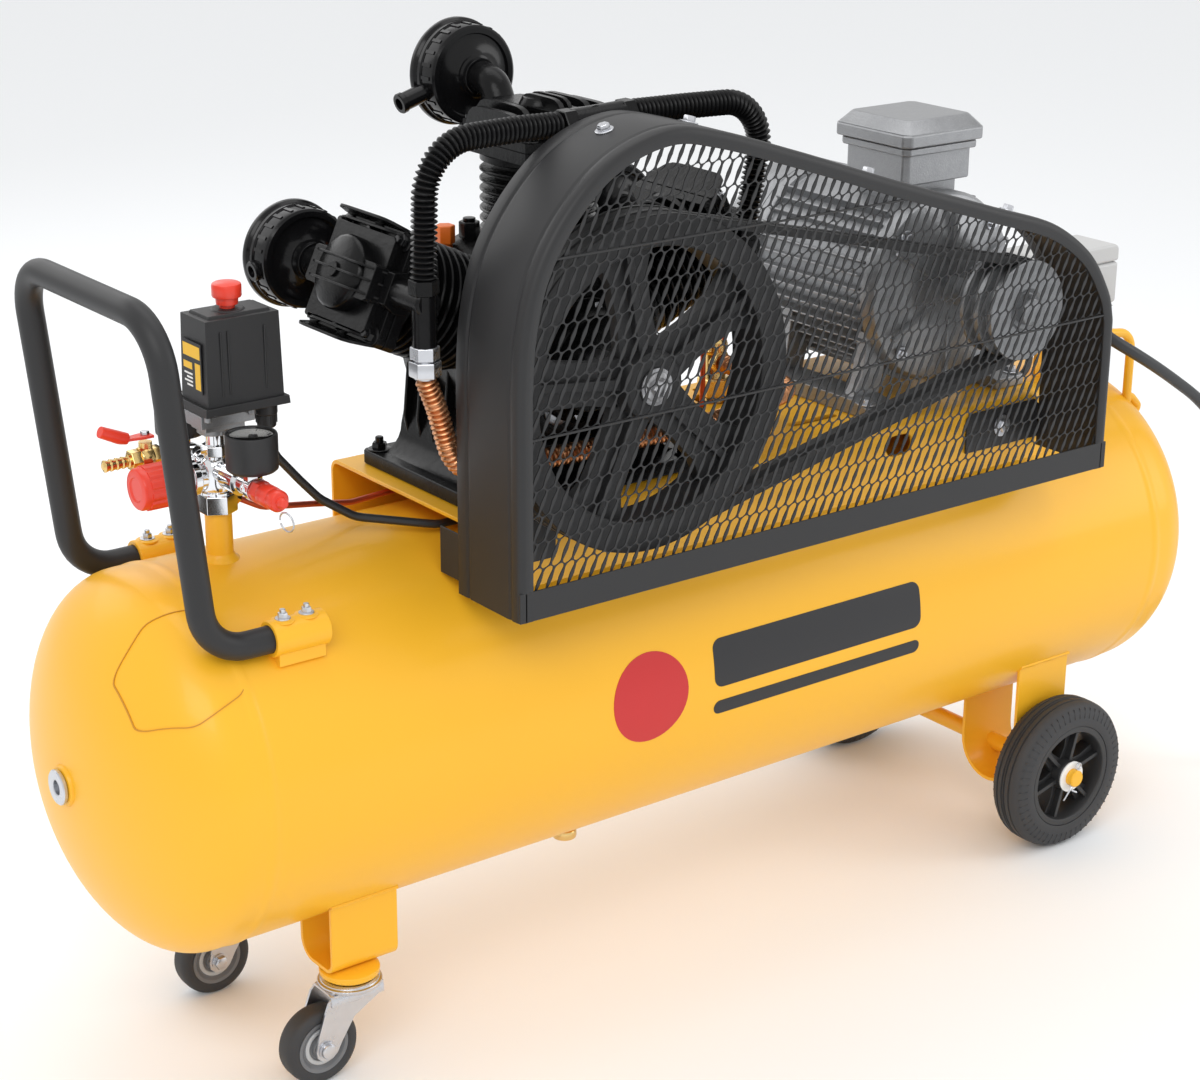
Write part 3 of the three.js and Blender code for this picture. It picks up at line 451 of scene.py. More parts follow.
def catmull(pts, step):
    p = [Vector(q) for q in pts]
    p = [p[0] * 2 - p[1]] + p + [p[-1] * 2 - p[-2]]
    out = []
    for i in range(1, len(p) - 2):
        a, b, c, d = p[i - 1], p[i], p[i + 1], p[i + 2]
        n = max(1, int(round((c - b).length / step)))
        t0 = 0; t1 = t0 + (b - a).length ** 0.5; t2 = t1 + (c - b).length ** 0.5; t3 = t2 + (d - c).length ** 0.5
        for k in range(n):
            t = t1 + (t2 - t1) * k / n
            A1 = a * ((t1 - t) / (t1 - t0)) + b * ((t - t0) / (t1 - t0))
            A2 = b * ((t2 - t) / (t2 - t1)) + c * ((t - t1) / (t2 - t1))
            A3 = c * ((t3 - t) / (t3 - t2)) + d * ((t - t2) / (t3 - t2))
            B1 = A1 * ((t2 - t) / (t2 - t0)) + A2 * ((t - t0) / (t2 - t0))
            B2 = A2 * ((t3 - t) / (t3 - t1)) + A3 * ((t - t1) / (t3 - t1))
            out.append(B1 * ((t2 - t) / (t2 - t1)) + B2 * ((t - t1) / (t2 - t1)))
    out.append(p[-2])
    return out


def even(pts, step):
    """the same line with points a fixed step apart"""
    p = [Vector(q) for q in pts]
    L = [0]
    for i in range(1, len(p)): L.append(L[-1] + (p[i] - p[i - 1]).length)
    n = max(2, int(round(L[-1] / step)))
    out, j = [], 0
    for k in range(n + 1):
        s = L[-1] * k / n
        while j < len(p) - 2 and L[j + 1] < s: j += 1
        w = (s - L[j]) / max(1e-9, L[j + 1] - L[j])
        out.append(p[j].lerp(p[j + 1], min(1, max(0, w))))
    return out


def strap(k, path, th, x0, x1):
    """sheet of thickness th along a path in (y, z), wide along x"""
    n = len(path); A, B = [], []
    for i, (y, z) in enumerate(path):
        a, b = path[max(0, i - 1)], path[min(n - 1, i + 1)]
        d = Vector((b[0] - a[0], b[1] - a[1])).normalized()
        q = Vector((-d.y, d.x)) * th / 2
        A.append((y + q.x, z + q.y)); B.append((y - q.x, z - q.y))
    vs = [(x, *p) for x in (x0, x1) for p in A + B]
    m = 2 * n
    fs = []
    for i in range(n - 1):
        fs += [(i, i + 1, m + i + 1, m + i), (n + i, m + n + i, m + n + i + 1, n + i + 1), (i, n + i, n + i + 1, i + 1), (m + i, m + i + 1, m + n + i + 1, m + n + i)]
    fs += [(0, m, m + n, n), (n - 1, 2 * n - 1, m + 2 * n - 1, m + n - 1)]
    return k.put(vs, fs)


def bolt(k, at, d, r=6.0, h=5.0, washer=True, start=0.0, dome=False):
    at, d = Vector(at), Vector(d).normalized()
    if washer:
        k.lathe([(0, 0), (r * 1.45, 0), (r * 1.5, 0.4), (r * 1.5, 1.2), (r * 1.4, 1.6), (0, 1.6)], at, d, 24)
    b = 1.5 if washer else 0
    if dome:
        k.lathe([(0, b), (r, b), (r, b + 0.3 * h), (r * 0.85, b + 0.7 * h), (r * 0.5, b + 0.94 * h), (0, b + h)], at, d, 24)
    else:
        k.lathe([(0, b), (r, b), (r, b + h - 1), (r * 0.88, b + h), (0, b + h)], at, d, 6, start)


# ------------------------------------------------------------------ power cable first
CORD = [(485, -81.2, 576), (486, -98, 572), (492, -116, 562), (505, -131, 549), (530, -139, 533), (560, -141, 515), (600, -141, 490), (640, -140, 463), (676, -139.5, 430), (703, -140, 389), (719, -142, 342), (727, -145, 290), (731, -149, 236), (734, -153, 182), (737, -157.5, 130), (742, -163, 84), (753, -168, 46), (769, -175.5, 22), (790, -186.5, 10), (812.3, -199.3, 6.6), (833.05, -211.3, 6.5)]
COIL_X, COIL_Y = 880, -130


def sm(a, b, t):
    t = min(1, max(0, (t - a) / (b - a)))
    return t * t * (3 - 2 * t)


line = catmull(CORD, 9)
for i in range(1, 106):
    q = 840 * i / 105
    r_ = 93.9 - 15.9 * sm(0, 55, q) - 13 * sm(325, 400, q) + 13.5 * sm(720, 820, q)
    z_ = 6.5 + 13.2 * sm(620, 705, q)
    a_ = rad(240 + q)
    line.append(Vector((COIL_X + r_ * cos(a_), COIL_Y + r_ * sin(a_), z_)))
for d_ in (14, 32, 49.5):
    line.append(Vector((COIL_X + 78.5, COIL_Y + d_, 19.6)))
cd = bpy.data.curves.new("power_lead", "CURVE"); cd.dimensions = "3D"
sp = cd.splines.new("POLY"); sp.points.add(len(line) - 1)
for q, p in zip(sp.points, line): q.co = (*P(*p), 1)
sp.use_smooth = True
cd.bevel_depth = 0.0064; cd.bevel_resolution = 5; cd.use_fill_caps = True
cd.materials.append(CABL)
lead = bpy.data.objects.new("power_lead", cd)
bpy.context.scene.collection.objects.link(lead)
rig.ride(lead, "root"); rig.replaces(lead, "power_cable", "cable_coil"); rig.slot(lead, "cable_rubber")
LEAD_LEN = sum((line[i + 1] - line[i]).length for i in range(len(line) - 1)) / 1000
k = K(); x = COIL_X + 78.5
k.lathe([(0, 0), (7.6, 0), (8, 1), (8, 5), (7.4, 6), (8.4, 7), (8.4, 11), (7.6, 12), (9, 13.5), (9, 17), (12, 19)], (x, COIL_Y + 50, 19.5), (0, 1, 0), 28)
k.lathe([(0, 17), (14, 17), (17.5, 20), (19.3, 26), (19.3, 36), (18.2, 38), (18.2, 41), (19.3, 43), (19.3, 66), (18, 68), (16.5, 68), (16.5, 62), (0, 62)], (x, COIL_Y + 50, 19.5), (0, 1, 0), 48)
for i in range(14):
    a = 2 * pi * i / 14
    k.box(-1.1, 1.1, COIL_Y + 78, COIL_Y + 92, 18.7, 19.55, lambda X, Y, Z, a=a: (x + X * cos(a) - Z * sin(a), Y, 19.5 + X * sin(a) + Z * cos(a)))
k.mat(1)
for dx, dz in ((0, 9), (-8, -5), (8, -5)):
    k.rod((x + dx, COIL_Y + 110, 19.5 + dz), (x + dx, COIL_Y + 139.5, 19.5 + dz), 2.3, 16, c=0.8)
plug = k.obj("plug_shell", [CABL, BRASS], rep=("power_plug",), slot="cable_rubber")
k = K()
tr = [(15.2 * cos(2 * pi * i / 32), 13.2 * sin(2 * pi * i / 32)) for i in range(32)]
vs = [(COIL_X + d, COIL_Y - 71.5 + y * g, 13.4 + z * g) for g in (1, 0.94) for y, z in tr for d in (-3, 3)]
k.put(vs, [f for i in range(32) for j in [(i + 1) % 32] for f in ((2 * i, 2 * j, 2 * j + 1, 2 * i + 1), (64 + 2 * i, 65 + 2 * i, 65 + 2 * j, 64 + 2 * j), (2 * i, 64 + 2 * i, 64 + 2 * j, 2 * j), (2 * i + 1, 2 * j + 1, 65 + 2 * j, 65 + 2 * i))])
tie = k.obj("coil_tie", BPL)
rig.cord(lead, exit=tuple(P(485, -81.2, 576)), length=round(LEAD_LEN, 3), diameter=0.013, far_end="plug", stiffness="medium", lay="coiled", with_pieces=[plug, tie])

# ------------------------------------------------------------------ receiver
TR, TZ, TS, DM = 175.0, 310.0, 567.5, 90.0


def surf_r(x):
    d = abs(x) - TS
    return TR if d <= 0 else TR * math.sqrt(max(0, 1 - (d / DM) ** 2))


def on_tank(x, phi, off=0.0):
    """phi measured from -Y upwards, degrees"""
    d = abs(x) - TS
    r = surf_r(x)
    n = Vector((0, -cos(rad(phi)), sin(rad(phi))))
    if d > 0:
        nn = Vector((math.copysign(d / DM ** 2, x), n.y * r / TR ** 2, n.z * r / TR ** 2)).normalized()
    else:
        nn = n
    return Vector((x, n.y * r, TZ + n.z * r)) + nn * off


prof = [(0, -657.5)]
for i in range(1, 25):
    a = pi / 2 * i / 24
    prof.append((TR * sin(a), -TS - DM * cos(a)))
for side in (-1, 1):
    c0 = 549
    seq = [(-9, 0), (-6, 0.1), (-4, 0.55), (-2, 0.95), (0, 1.1), (2, 0.95), (4, 0.55), (6, 0.1), (9, 0)]
    prof += [(TR + b - 0.0, side * c0 + a) for a, b in seq]
for i in range(24, 0, -1):
    a = pi / 2 * i / 24
    prof.append((TR * sin(a), TS + DM * cos(a)))
prof.append((0, 657.5))
k = K().lathe(prof, (0, 0, TZ), (1, 0, 0), 144)
k.lathe([(13.5, 0), (19, 0), (19, 18), (17.6, 20.5), (14.5, 21), (13.5, 20), (13.5, 0)], (-639, 0, TZ), (-1, 0, 0), 48)      # plug boss
k.rod((-495, 0, 476), (-495, 0, 528), 12, 40, c=0.8)
k.lathe([(0, 0), (19, 0), (17, 3), (13.6, 5.6), (12.2, 8.6), (0, 8.6)], (-495, 0, 482), (0, 0, 1), 40)                          # weld
k.lathe([(0, 0), (17, 0), (14.6, 5), (14.6, 11), (0, 11)], (-120, 0, 138.5), (0, 0, -1), 32)
for s in (-1, 1):
    y = s * 122
    k.lathe([(12.4, 0), (15.2, 0), (16, 0.8), (16, 52.2), (15.2, 53), (12.4, 53), (12.4, 0)], (-518, y, 453), (1, 0, 0), 40)
    k.prism([(-514, 430), (-469, 430), (-469, 446), (-514, 446)], "y", y - 10, y + 10)
for s in (-1, 1):
    k.prism([(505, 478), (555, 478), (552, 553), (508, 553)], "y", -20 + s * 0 - 2, -18)
k.box(495, 565, -42, 2, 552, 555.6)
tank = k.obj("receiver", YEL, rep=("tank_shell",), slot="yellow_paint", sharp=40)

k = K()
k.lathe([(0, 0), (12.8, 0), (12.8, 8), (15.2, 8), (16, 9), (16, 11.4), (15, 12.4), (7.6, 12.4), (6.6, 11.6), (6.2, 6), (0, 5.2)], (-652.4, 0, TZ), (-1, 0, 0), 48)
plugo = k.obj("receiver_plug", ZINC, rep=("inspection_plug",), slot="zinc")
cutwith(plugo, K().lathe([(0, 0), (6.6, 0), (6.6, 9), (0, 9)], (-657.6, 0, TZ), (-1, 0, 0), 6))
k = K()
k.rod((-120, 0, 139), (-120, 0, 126), 6.8, 24); k.hexa((-120, 0, 127.6), (-120, 0, 115), 9)
k.rod((-120, 0, 116), (-120, 0, 110), 6, 24)
kn = [(0, 0), (9.5, 0), (12, 1.2), (12.5, 2.6), (12.5, 8.6), (11.8, 10), (9, 11.4), (0, 11.4)]
k.lathe(kn, (-120, 0, 99.5), (0, 0, 1), 20)
k.obj("drain_cock", BRASS, "drain", rep=("drain_valve",), bevel=0.4, slot="brass")


def patch(name, outline, off, mat, grid=5.0, th=0.25):
    """a thin printed or stuck patch on the receiver: an outline in (x, arc length mm from the equator)"""
    me = bmesh.new()
    vs = [me.verts.new((x, 0, s_)) for x, s_ in outline]
    me.faces.new(vs)
    lo = [min(c[i] for c in outline) for i in (0, 1)]; hi = [max(c[i] for c in outline) for i in (0, 1)]
    x = lo[0] + grid
    while x < hi[0]:
        bmesh.ops.bisect_plane(me, geom=me.verts[:] + me.edges[:] + me.faces[:], plane_co=(x, 0, 0), plane_no=(1, 0, 0)); x += grid
    z = lo[1] + grid
    while z < hi[1]:
        bmesh.ops.bisect_plane(me, geom=me.verts[:] + me.edges[:] + me.faces[:], plane_co=(0, 0, z), plane_no=(0, 0, 1)); z += grid
    ext = bmesh.ops.extrude_face_region(me, geom=me.faces[:])
    top = {v for v in ext["geom"] if isinstance(v, bmesh.types.BMVert)}
    for v in me.verts:
        q = on_tank(v.co.x, math.degrees(v.co.z / TR), off + (th if v in top else -0.3))
        v.co = P(*q)
    bmesh.ops.recalc_face_normals(me, faces=me.faces)
    m = bpy.data.meshes.new(name); me.to_mesh(m); me.free()
    m.materials.append(mat)
    m.polygons.foreach_set("use_smooth", [True] * len(m.polygons)); m.set_sharp_from_angle(angle=rad(40))
    o = bpy.data.objects.new(name, m); bpy.context.scene.collection.objects.link(o)
    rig.ride(o, "root"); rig.slot(o, "charcoal_paint")
    return o


def rrect(x0, x1, s0, s1, r, n=6, skew=0.0):
    out = []
    for cx, cy, a0 in ((x1 - r, s1 - r, 0), (x0 + r, s1 - r, 90), (x0 + r, s0 + r, 180), (x1 - r, s0 + r, 270)):
        for i in range(n + 1):
            a = rad(a0 + 90 * i / n)
            px, py = cx + r * cos(a), cy + r * sin(a)
            out.append((px + skew * (py - s0), py))
    return out


# plain mark in place of the maker's: a red disc and two dark bars
patch("mark_disc", [(-148 + 44 * cos(2 * pi * i / 48), 44 * sin(2 * pi * i / 48) + 12) for i in range(48)], 0.1, INKR)
patch("mark_bar_wide", rrect(-72, 196, 2, 50, 10), 0.1, INK)
patch("mark_bar_narrow", rrect(-72, 196, -26, -12, 7), 0.1, INK)
# stuck label on the upper end of the receiver: a plain outline without words
lab = [(-632, 118), (-600, 100), (-548, 118), (-548, 205), (-600, 214), (-632, 196)]
lab = [tuple(v)[:2] for v in fillet([(a, b, 0) for a, b in lab + [lab[0], lab[1]]], 16, 5)][1:-1]


def ringpatch(name, outline, w, mat):
    fine = []
    for i, (a, b) in enumerate(outline):
        c, d = outline[(i + 1) % len(outline)]
        m_ = max(1, int(math.hypot(c - a, d - b) / 3))
        fine += [(a + (c - a) * q / m_, b + (d - b) * q / m_) for q in range(m_)]
    outline = fine
    n = len(outline); cx = sum(a for a, _ in outline) / n; cy = sum(b for _, b in outline) / n
    inn = [(cx + (a - cx) * (1 - w), cy + (b - cy) * (1 - w)) for a, b in outline]
    k = K()
    top = [on_tank(a, math.degrees(b / TR), 0.75) for a, b in outline]; tin = [on_tank(a, math.degrees(b / TR), 0.75) for a, b in inn]
    bot = [on_tank(a, math.degrees(b / TR), -0.4) for a, b in outline]; bin_ = [on_tank(a, math.degrees(b / TR), -0.4) for a, b in inn]
    f = []
    for i in range(n):
        j = (i + 1) % n
        f += [(i, j, n + j, n + i), (2 * n + i, 3 * n + i, 3 * n + j, 2 * n + j), (i, 2 * n + i, 2 * n + j, j), (n + i, n + j, 3 * n + j, 3 * n + i)]
    k.put(top + tin + bot + bin_, f)
    return k.obj(name, mat, slot="yellow_paint")


ringpatch("end_label_outline", lab, 0.016, LINE)

# ------------------------------------------------------------------ deck
k = K()
pth = [(-118, 436), (-118, 499)] + [(-118 + 10 - 10 * cos(rad(a)), 498 + 10 * sin(rad(a))) for a in range(10, 91, 10)] + [(0, 508)] + [(108 + 10 * sin(rad(a)), 498 + 10 * cos(rad(a))) for a in range(0, 91, 10)] + [(118, 436)]
strap(k, pth, 3.8, -309, 420)
deck = k.obj("deck_plate", YEL, rep=("base_plate",), bevel=0.7, slot="yellow_paint")
ck = K()
def slotpts(x0, x1, y0, y1, n=8):
    r = (y1 - y0) / 2; ym = (y0 + y1) / 2
    return [(x1 - r + r * cos(rad(a)), ym + r * sin(rad(a))) for a in [-90 + 180 * i / n for i in range(n + 1)]] + [(x0 + r + r * cos(rad(a)), ym + r * sin(rad(a))) for a in [90 + 180 * i / n for i in range(n + 1)]]
ck.prism(slotpts(112, 175, -66, -56), "z", 500, 516)
ck.prism(slotpts(112, 175, 84, 94), "z", 500, 516)
ck.lathe([(0, 0), (20, 0), (20, 30), (0, 30)], (110, 55, 490), (0, 0, 1), 40)
ck.prism(slotpts(190, 226, 476, 497), "y", -130, -108)
cutwith(deck, ck)

# ------------------------------------------------------------------ legs, rear brackets, axle
for tag, s in (("near", -1), ("far", 1)):
    k = K()
    leg = [(114, 180), (114, 124)] + [(104 + 10 * cos(rad(a)), 120 - 10 * sin(rad(a))) for a in range(0, 91, 15)] + [(86, 110)] + [(80 - 18 * sin(rad(a)), 128 - 18 * cos(rad(a))) for a in range(0, 91, 15)] + [(62, 150)]
    strap(k, [(s * y_, z_) for y_, z_ in leg], 4, -464, -394)
    k.lathe([(0, 0), (24, 0), (27.5, 2.6), (28, 5), (28, 8), (23, 11), (0, 11)], (-437, s * 100, 97.0), (0, 0, 1), 56)
    k.obj("caster_leg_" + tag, YEL, rep=("leg_" + tag,), bevel=0.8, slot="yellow_paint")
    k = K()
    br = [(139, 214)] + [(101 + 38 * cos(rad(a)), 100 - 38 * sin(rad(a))) for a in range(0, 181, 12)] + [(63, 152)]
    strap(k, [(s * y_, z_) for y_, z_ in br], 4, 384, 458)
    k.obj("axle_bracket_" + tag, YEL, rep=("rear_bracket_" + tag,), bevel=0.8, slot="yellow_paint")
    k = K()
    sd = s
    # weld fillets of the brackets on the receiver
    for xx0, xx1, yy, zz in ((384, 458, 141, 207.5), (-464, -394, 116, 179)):
        pts = [(xx0 + (xx1 - xx0) * i / 18, s * yy, zz) for i in range(19)]
        k.sweep(pts, lambda t: 2.6 + 0.35 * sin(t * 1.3), 10)
    k.obj("leg_welds_" + tag, YEL, slot="yellow_paint")
k = K()
k.rod((427, -195.5, 84), (427, 195.5, 84), 9.4, 40, c=1.2)
k.obj("wheel_axle", YEL, rep=("rear_axle",), slot="yellow_paint")

# ------------------------------------------------------------------ rear wheels
for tag, s in (("near", -1), ("far", 1)):
    body = "wheel_" + tag
    c = (427, s * 165, 84)
    tread = [(57.5, -21), (60, -22), (66, -21.6), (74, -20.4), (79.5, -17.6), (82.6, -13.2), (83.6, -9.6), (82.2, -9.0), (82.2, -7.6), (83.8, -7.0), (84, -3), (82.4, -2.4), (82.4, -0.9), (84, -0.3), (84, 0.3), (82.4, 0.9), (82.4, 2.4), (84, 3), (83.8, 7.0), (82.2, 7.6), (82.2, 9.0), (83.6, 9.6), (82.6, 13.2), (79.5, 17.6), (74, 20.4), (66, 21.6), (60, 22), (57.5, 21), (57.5, -21)]
    k = K().lathe(tread, c, (0, 1, 0), 112)
    for i in range(56):
        a = 2 * pi * i / 56
        for q in (-1, 1):
            k.put([(c[0] + r_ * cos(a + da), c[1] + q * yy, c[2] + r_ * sin(a + da)) for r_, yy, da in ((66.5, 21.5, -.012), (78.6, 18.4, -.012), (78.6, 18.4, .012), (66.5, 21.5, .012), (67.5, 22.1, -.008), (78.0, 19.6, -.008), (78.0, 19.6, .008), (67.5, 22.1, .008))],
                  [(0, 1, 2, 3), (4, 7, 6, 5), (0, 4, 5, 1), (1, 5, 6, 2), (2, 6, 7, 3), (3, 7, 4, 0)])
    k.obj("rear_tyre_" + tag, RUB, body, rep=("rear_wheel_" + tag,), sharp=28, slot="tread_rubber")
    k = K()
    k.lathe([(50, -19), (51, -20.6), (56.5, -21), (57.6, -20), (57.6, 20), (56.5, 21), (51, 20.6), (50, 19), (48.4, 6), (48.4, -6), (50, -19)], c, (0, 1, 0), 80)
    k.lathe([(9.9, -19.6), (15.4, -19.6), (16.6, -18.2), (18, -4), (18, 4), (16.6, 18.2), (15.4, 19.6), (9.9, 19.6), (9.9, -19.6)], c, (0, 1, 0), 48)
    for i in range(6):
        a = 2 * pi * i / 6 + 0.25
        def xf(X, Y, Z, a=a): return (c[0] + X * cos(a) - Z * sin(a), c[1] + Y, c[2] + X * sin(a) + Z * cos(a))
        k.prism([(15, -9), (30, -6.6), (50, -10.5), (50, 10.5), (30, 6.6), (15, 9)], "y", -7.5, 7.5, xf)
        k.prism([(15, -2.2), (50.5, -2.2), (50.5, 2.2), (15, 2.2)], "y", -15 , 15, xf)
    k.obj("rear_hub_" + tag, HUB, body, bevel=1.1, seg=3, slot="black_plastic")
    k = K()
    k.lathe([(9.6, 0), (17, 0), (17.4, 0.5), (17.4, 1.6), (17, 2), (9.6, 2), (9.6, 0)], (427, s * 185.3, 84), (0, s, 0), 48)
    k.obj("axle_washer_" + tag, DIAL, slot="zinc")
    k = K()
    p0 = Vector((427, s * 190.6, 84))
    dv = Vector((0.45, 0, 0.9)).normalized()
    loop = []
    for i in range(15):
        a = rad(-120 + 240 * i / 14)
        loop.append(p0 + dv * (13.5 + 3.4 * cos(a)) + Vector((dv.z, 0, -dv.x)) * (3.4 * sin(a)))
    k.sweep(loop, 1.05, 10)
    k.sweep([p0 + dv * 12, p0 + dv * 4, p0 - dv * 4, p0 - dv * 11, p0 - dv * 15 + Vector((3, s * 1.5, 0)), p0 - dv * 22 + Vector((12, s * 3, 3))], 1.0, 10)
    k.sweep([p0 + dv * 12 + Vector((0, s * 1.6, 0)), p0 + dv * 4 + Vector((0, s * 1.6, 0)), p0 - dv * 11 + Vector((0, s * 1.6, 0)), p0 - dv * 15 + Vector((-3, s * 2.4, 0)), p0 - dv * 21 + Vector((-9, s * 3.5, -2))], 1.0, 10)
    k.obj("split_pin_" + tag, ZINC, slot="zinc")

# ------------------------------------------------------------------ casters
for tag, s in (("near", -1), ("far", 1)):
    y = s * 100.0
    ax, wx, wz = -437.0, -473.0, 37.0
    b = "caster_" + tag
    k = K()
    k.lathe([(0, 0), (27, 0), (29.2, 1.4), (30, 4), (29.6, 5.2), (27.4, 5.8), (27.4, 6.6), (25, 8.4), (0, 8.4)], (ax, y, 88), (0, 0, 1), 64)
    side = [(wx - 11, 37), (wx - 9.5, 30.5), (wx - 5, 26.4), (wx + 1, 25.4), (wx + 6, 26.6), (wx + 11, 31), (wx + 17, 42), (wx + 30, 62), (-418, 76), (-412, 83), (-411, 89), (wx + 9, 89), (wx + 3, 83), (wx - 2, 70), (wx - 8, 52)]
    for q in (-1, 1):
        k.prism(side, "y", y + q * 15.6 - 1.25, y + q * 15.6 + 1.25)
    arc = [(-16.8, 78), (-16.8, 84), (-15, 87.6), (-11.5, 89), (11.5, 89), (15, 87.6), (16.8, 84), (16.8, 78)]
    strap(k, [(y + u_, z_) for u_, z_ in arc], 2.5, wx + 6, -411.5)
    k.rod((wx, y - 20, wz), (wx, y + 20, wz), 4.6, 24)
    k.obj("caster_frame_" + tag, ZINC, b, rep=("caster_fork_" + tag,), bevel=0.6, slot="zinc")
    k = K()
    for q in (-1, 1):
        k.lathe([(0, 0), (8.6, 0), (8.6, 1.4), (0, 1.4)], (wx, y + q * 16.9, wz), (0, q, 0), 36)
        k.lathe([(0, 1.2), (7.4, 1.2), (7.4, 3.4), (6.8, 4.9), (5.4, 5.7), (0, 6)], (wx, y + q * 16.9, wz), (0, q, 0), 6 if q * s < 0 else 36)
    k.obj("caster_bolt_" + tag, ZINC, b, bevel=0.3, slot="zinc")
    k = K()
    c = (wx, y, wz)
    k.lathe([(25.4, -10.5), (27.5, -12), (31.5, -12.2), (34.6, -10.8), (36.4, -8), (37, -4.4), (37, 4.4), (36.4, 8), (34.6, 10.8), (31.5, 12.2), (27.5, 12), (25.4, 10.5), (25.4, -10.5)], c, (0, 1, 0), 72)
    k.obj("caster_tyre_" + tag, RUB, b + "_roll", rep=("caster_wheel_" + tag,), sharp=40, slot="tread_rubber")
    k = K()
    k.lathe([(5.2, -12.6), (10.4, -12.6), (11, -12), (11.4, -8), (20, -8), (22.4, -10.6), (25.6, -11), (25.6, 11), (22.4, 10.6), (20, 8), (11.4, 8), (11, 12), (10.4, 12.6), (5.2, 12.6), (5.2, -12.6)], c, (0, 1, 0), 64)
    k.mat(1)
    for q in (-1, 1):
        k.lathe([(14.2, 7.4), (14.2, 9), (15, 9.5), (17.4, 9.5), (18.2, 9), (18.2, 7.4), (14.2, 7.4)], c, (0, q, 0), 56)
    k.obj("caster_hub_" + tag, [HUBG, GREYL], b + "_roll", sharp=30, slot="black_plastic")

# ------------------------------------------------------------------ handle, hook
k = K()
hp = fillet([(-478, -122, 453), (-577, -122, 453), (-606, -122, 741), (-606, 122, 741), (-577, 122, 453), (-478, 122, 453)], [42, 44, 44, 42], 12)
k.sweep(even(hp, 6), 12, 36)
k.obj("push_handle", CHA, rep=("handle_tube",), slot="charcoal_paint")
k = K()
for s in (-1, 1):
    for x in (-504, -481):
        bolt(k, (x, s * 122, 468.2), (0, 0, 1), 4.6, 4.6, start=x)
        k.rod((x, s * 122, 473), (x, s * 122, 477.5), 2.6, 16, c=0.5)
k.obj("handle_bolts", ZINC, bevel=0.3, slot="zinc")
k = K()
for s in (-1, 1):
    for x in (-504, -481):
        k.lathe([(0, 0), (10.5, 0), (10.5, 1.4), (8, 2.2), (0, 2.2)], (x, s * 122, 466.6), (0, 0, 1), 24)
k.obj("socket_pads", YEL, slot="yellow_paint")
k = K()
k.sweep(fillet([(592, -80, 452), (592, -80, 533), (540, -80, 540), (534, -80, 500)], [22, 24], 10), 5, 20)
k.sweep(fillet([(590, -80, 463), (600, -80, 458), (612, -80, 446), (606, -80, 440)], 5, 5), 4.6, 16)
k.obj("lead_hook", YEL, rep=("cable_hook",), slot="yellow_paint")

# ------------------------------------------------------------------ air outlet group
MX = -495
k = K()
k.hexa((MX, 0, 528), (MX, 0, 546), 17.4, 1.2)
k.lathe([(0, 0), (14.6, 0), (14.6, 3), (13.2, 4), (14, 7), (14.6, 12), (14.6, 22), (14, 27), (12, 31), (10, 33), (10, 38), (0, 38)], (MX, 0, 545), (0, 0, 1), 40)
k.hexa((MX, 0, 580), (MX, 0, 590), 12.4, 0.8)
k.rod((MX, 0, 588), (MX, 0, 599.8), 8.4, 32)
for s, e in ((-1, 72), (1, 74)):
    k.lathe([(0, 0), (9.5, 0), (9.5, 22), (12, 24), (12, 46), (9.2, 48), (9.2, e - 8), (10.6, e - 7), (10.6, e), (0, e)], (MX, 0, 567), (0, s, 0), 32)
for yy in (-65, 62):
    k.lathe([(0, 0), (11.4, 0), (11.4, 3), (9, 6), (9, 7), (0, 7)], (MX, yy, 566), (0, 0, 1), 32)
    k.hexa((MX, yy, 572), (MX, yy, 582.8), 8.2, 0.8)
k.lathe([(0, 0), (16, 0), (16, 9), (13.4, 11), (13.4, 17), (15.4, 18), (15.4, 24), (12, 25), (12, 34.6), (0, 34.6)], (MX, 5, 561), (-1, 0, 0), 40)
k.lathe([(0, 0), (9, 0), (9, 20), (8, 22), (8, 31.6), (0, 31.6)], (MX, 38, 571), (-1, 0, 0.12), 32)
k.hexa((-517, 38, 575), (-526.6, 38, 575.6), 9.6, 0.8)
k.obj("air_manifold", CHR, rep=("manifold",), bevel=0.35, slot="chrome")
k = K()
n = 72
kp = []
for i in range(n):
    rr_ = 19.9 if (i % 6) < 4 else 18.6
    kp.append((5 + rr_ * cos(2 * pi * i / n), 561 + rr_ * sin(2 * pi * i / n)))
k.prism(kp, "x", -563, -538)
k.lathe([(0, 0), (13.4, 0), (16.4, 1), (18.6, 4), (18.8, 10), (0, 10)], (-530, 5, 561), (-1, 0, 0), 48)
k.lathe([(0, 0), (18.8, 0), (18.8, 5), (17.6, 7.4), (14, 8.2), (11, 8.2), (10, 7), (0, 7)], (-562, 5, 561), (-1, 0, 0), 48)
k.obj("regulator_cap", RED, "regulator", rep=("regulator_knob",), bevel=0.5, slot="red_plastic")
k = K()
k.hexa((-528.6, 38, 576), (-539, 38, 576), 10.2, 0.9)
k.lathe([(0, 0), (9.6, 0), (11, 3), (11, 9), (9.6, 12), (0, 12)], (-537, 38, 576), (-1, 0, 0), 36)
k.rod((-542, 38, 578), (-542, 38, 590.8), 6, 28)
k.hexa((-548, 38, 576), (-558, 38, 575.9), 9.8, 0.9)
bp = [(0, 0), (6, 0), (6, 2)]
for i in range(4):
    bp += [(4.4, 3 + i * 5.6), (5.6, 7.6 + i * 5.6)]
bp += [(3.2, 25.4), (2.6, 26.2), (0, 26.2)]
k.lathe(bp, (-557.6, 38, 575.8), (-1, 0, -0.01), 32)
k.obj("outlet_cock", BRASS, rep=("outlet_valve_body",), bevel=0.3, slot="brass")
k = K()
lv = [(-536, 31.6), (-536, 44.4), (-546, 44.4), (-556, 42.6), (-563, 42), (-563, 34), (-556, 33.4), (-546, 31.6)]
k.prism(lv, "z", 594.6, 597.2)
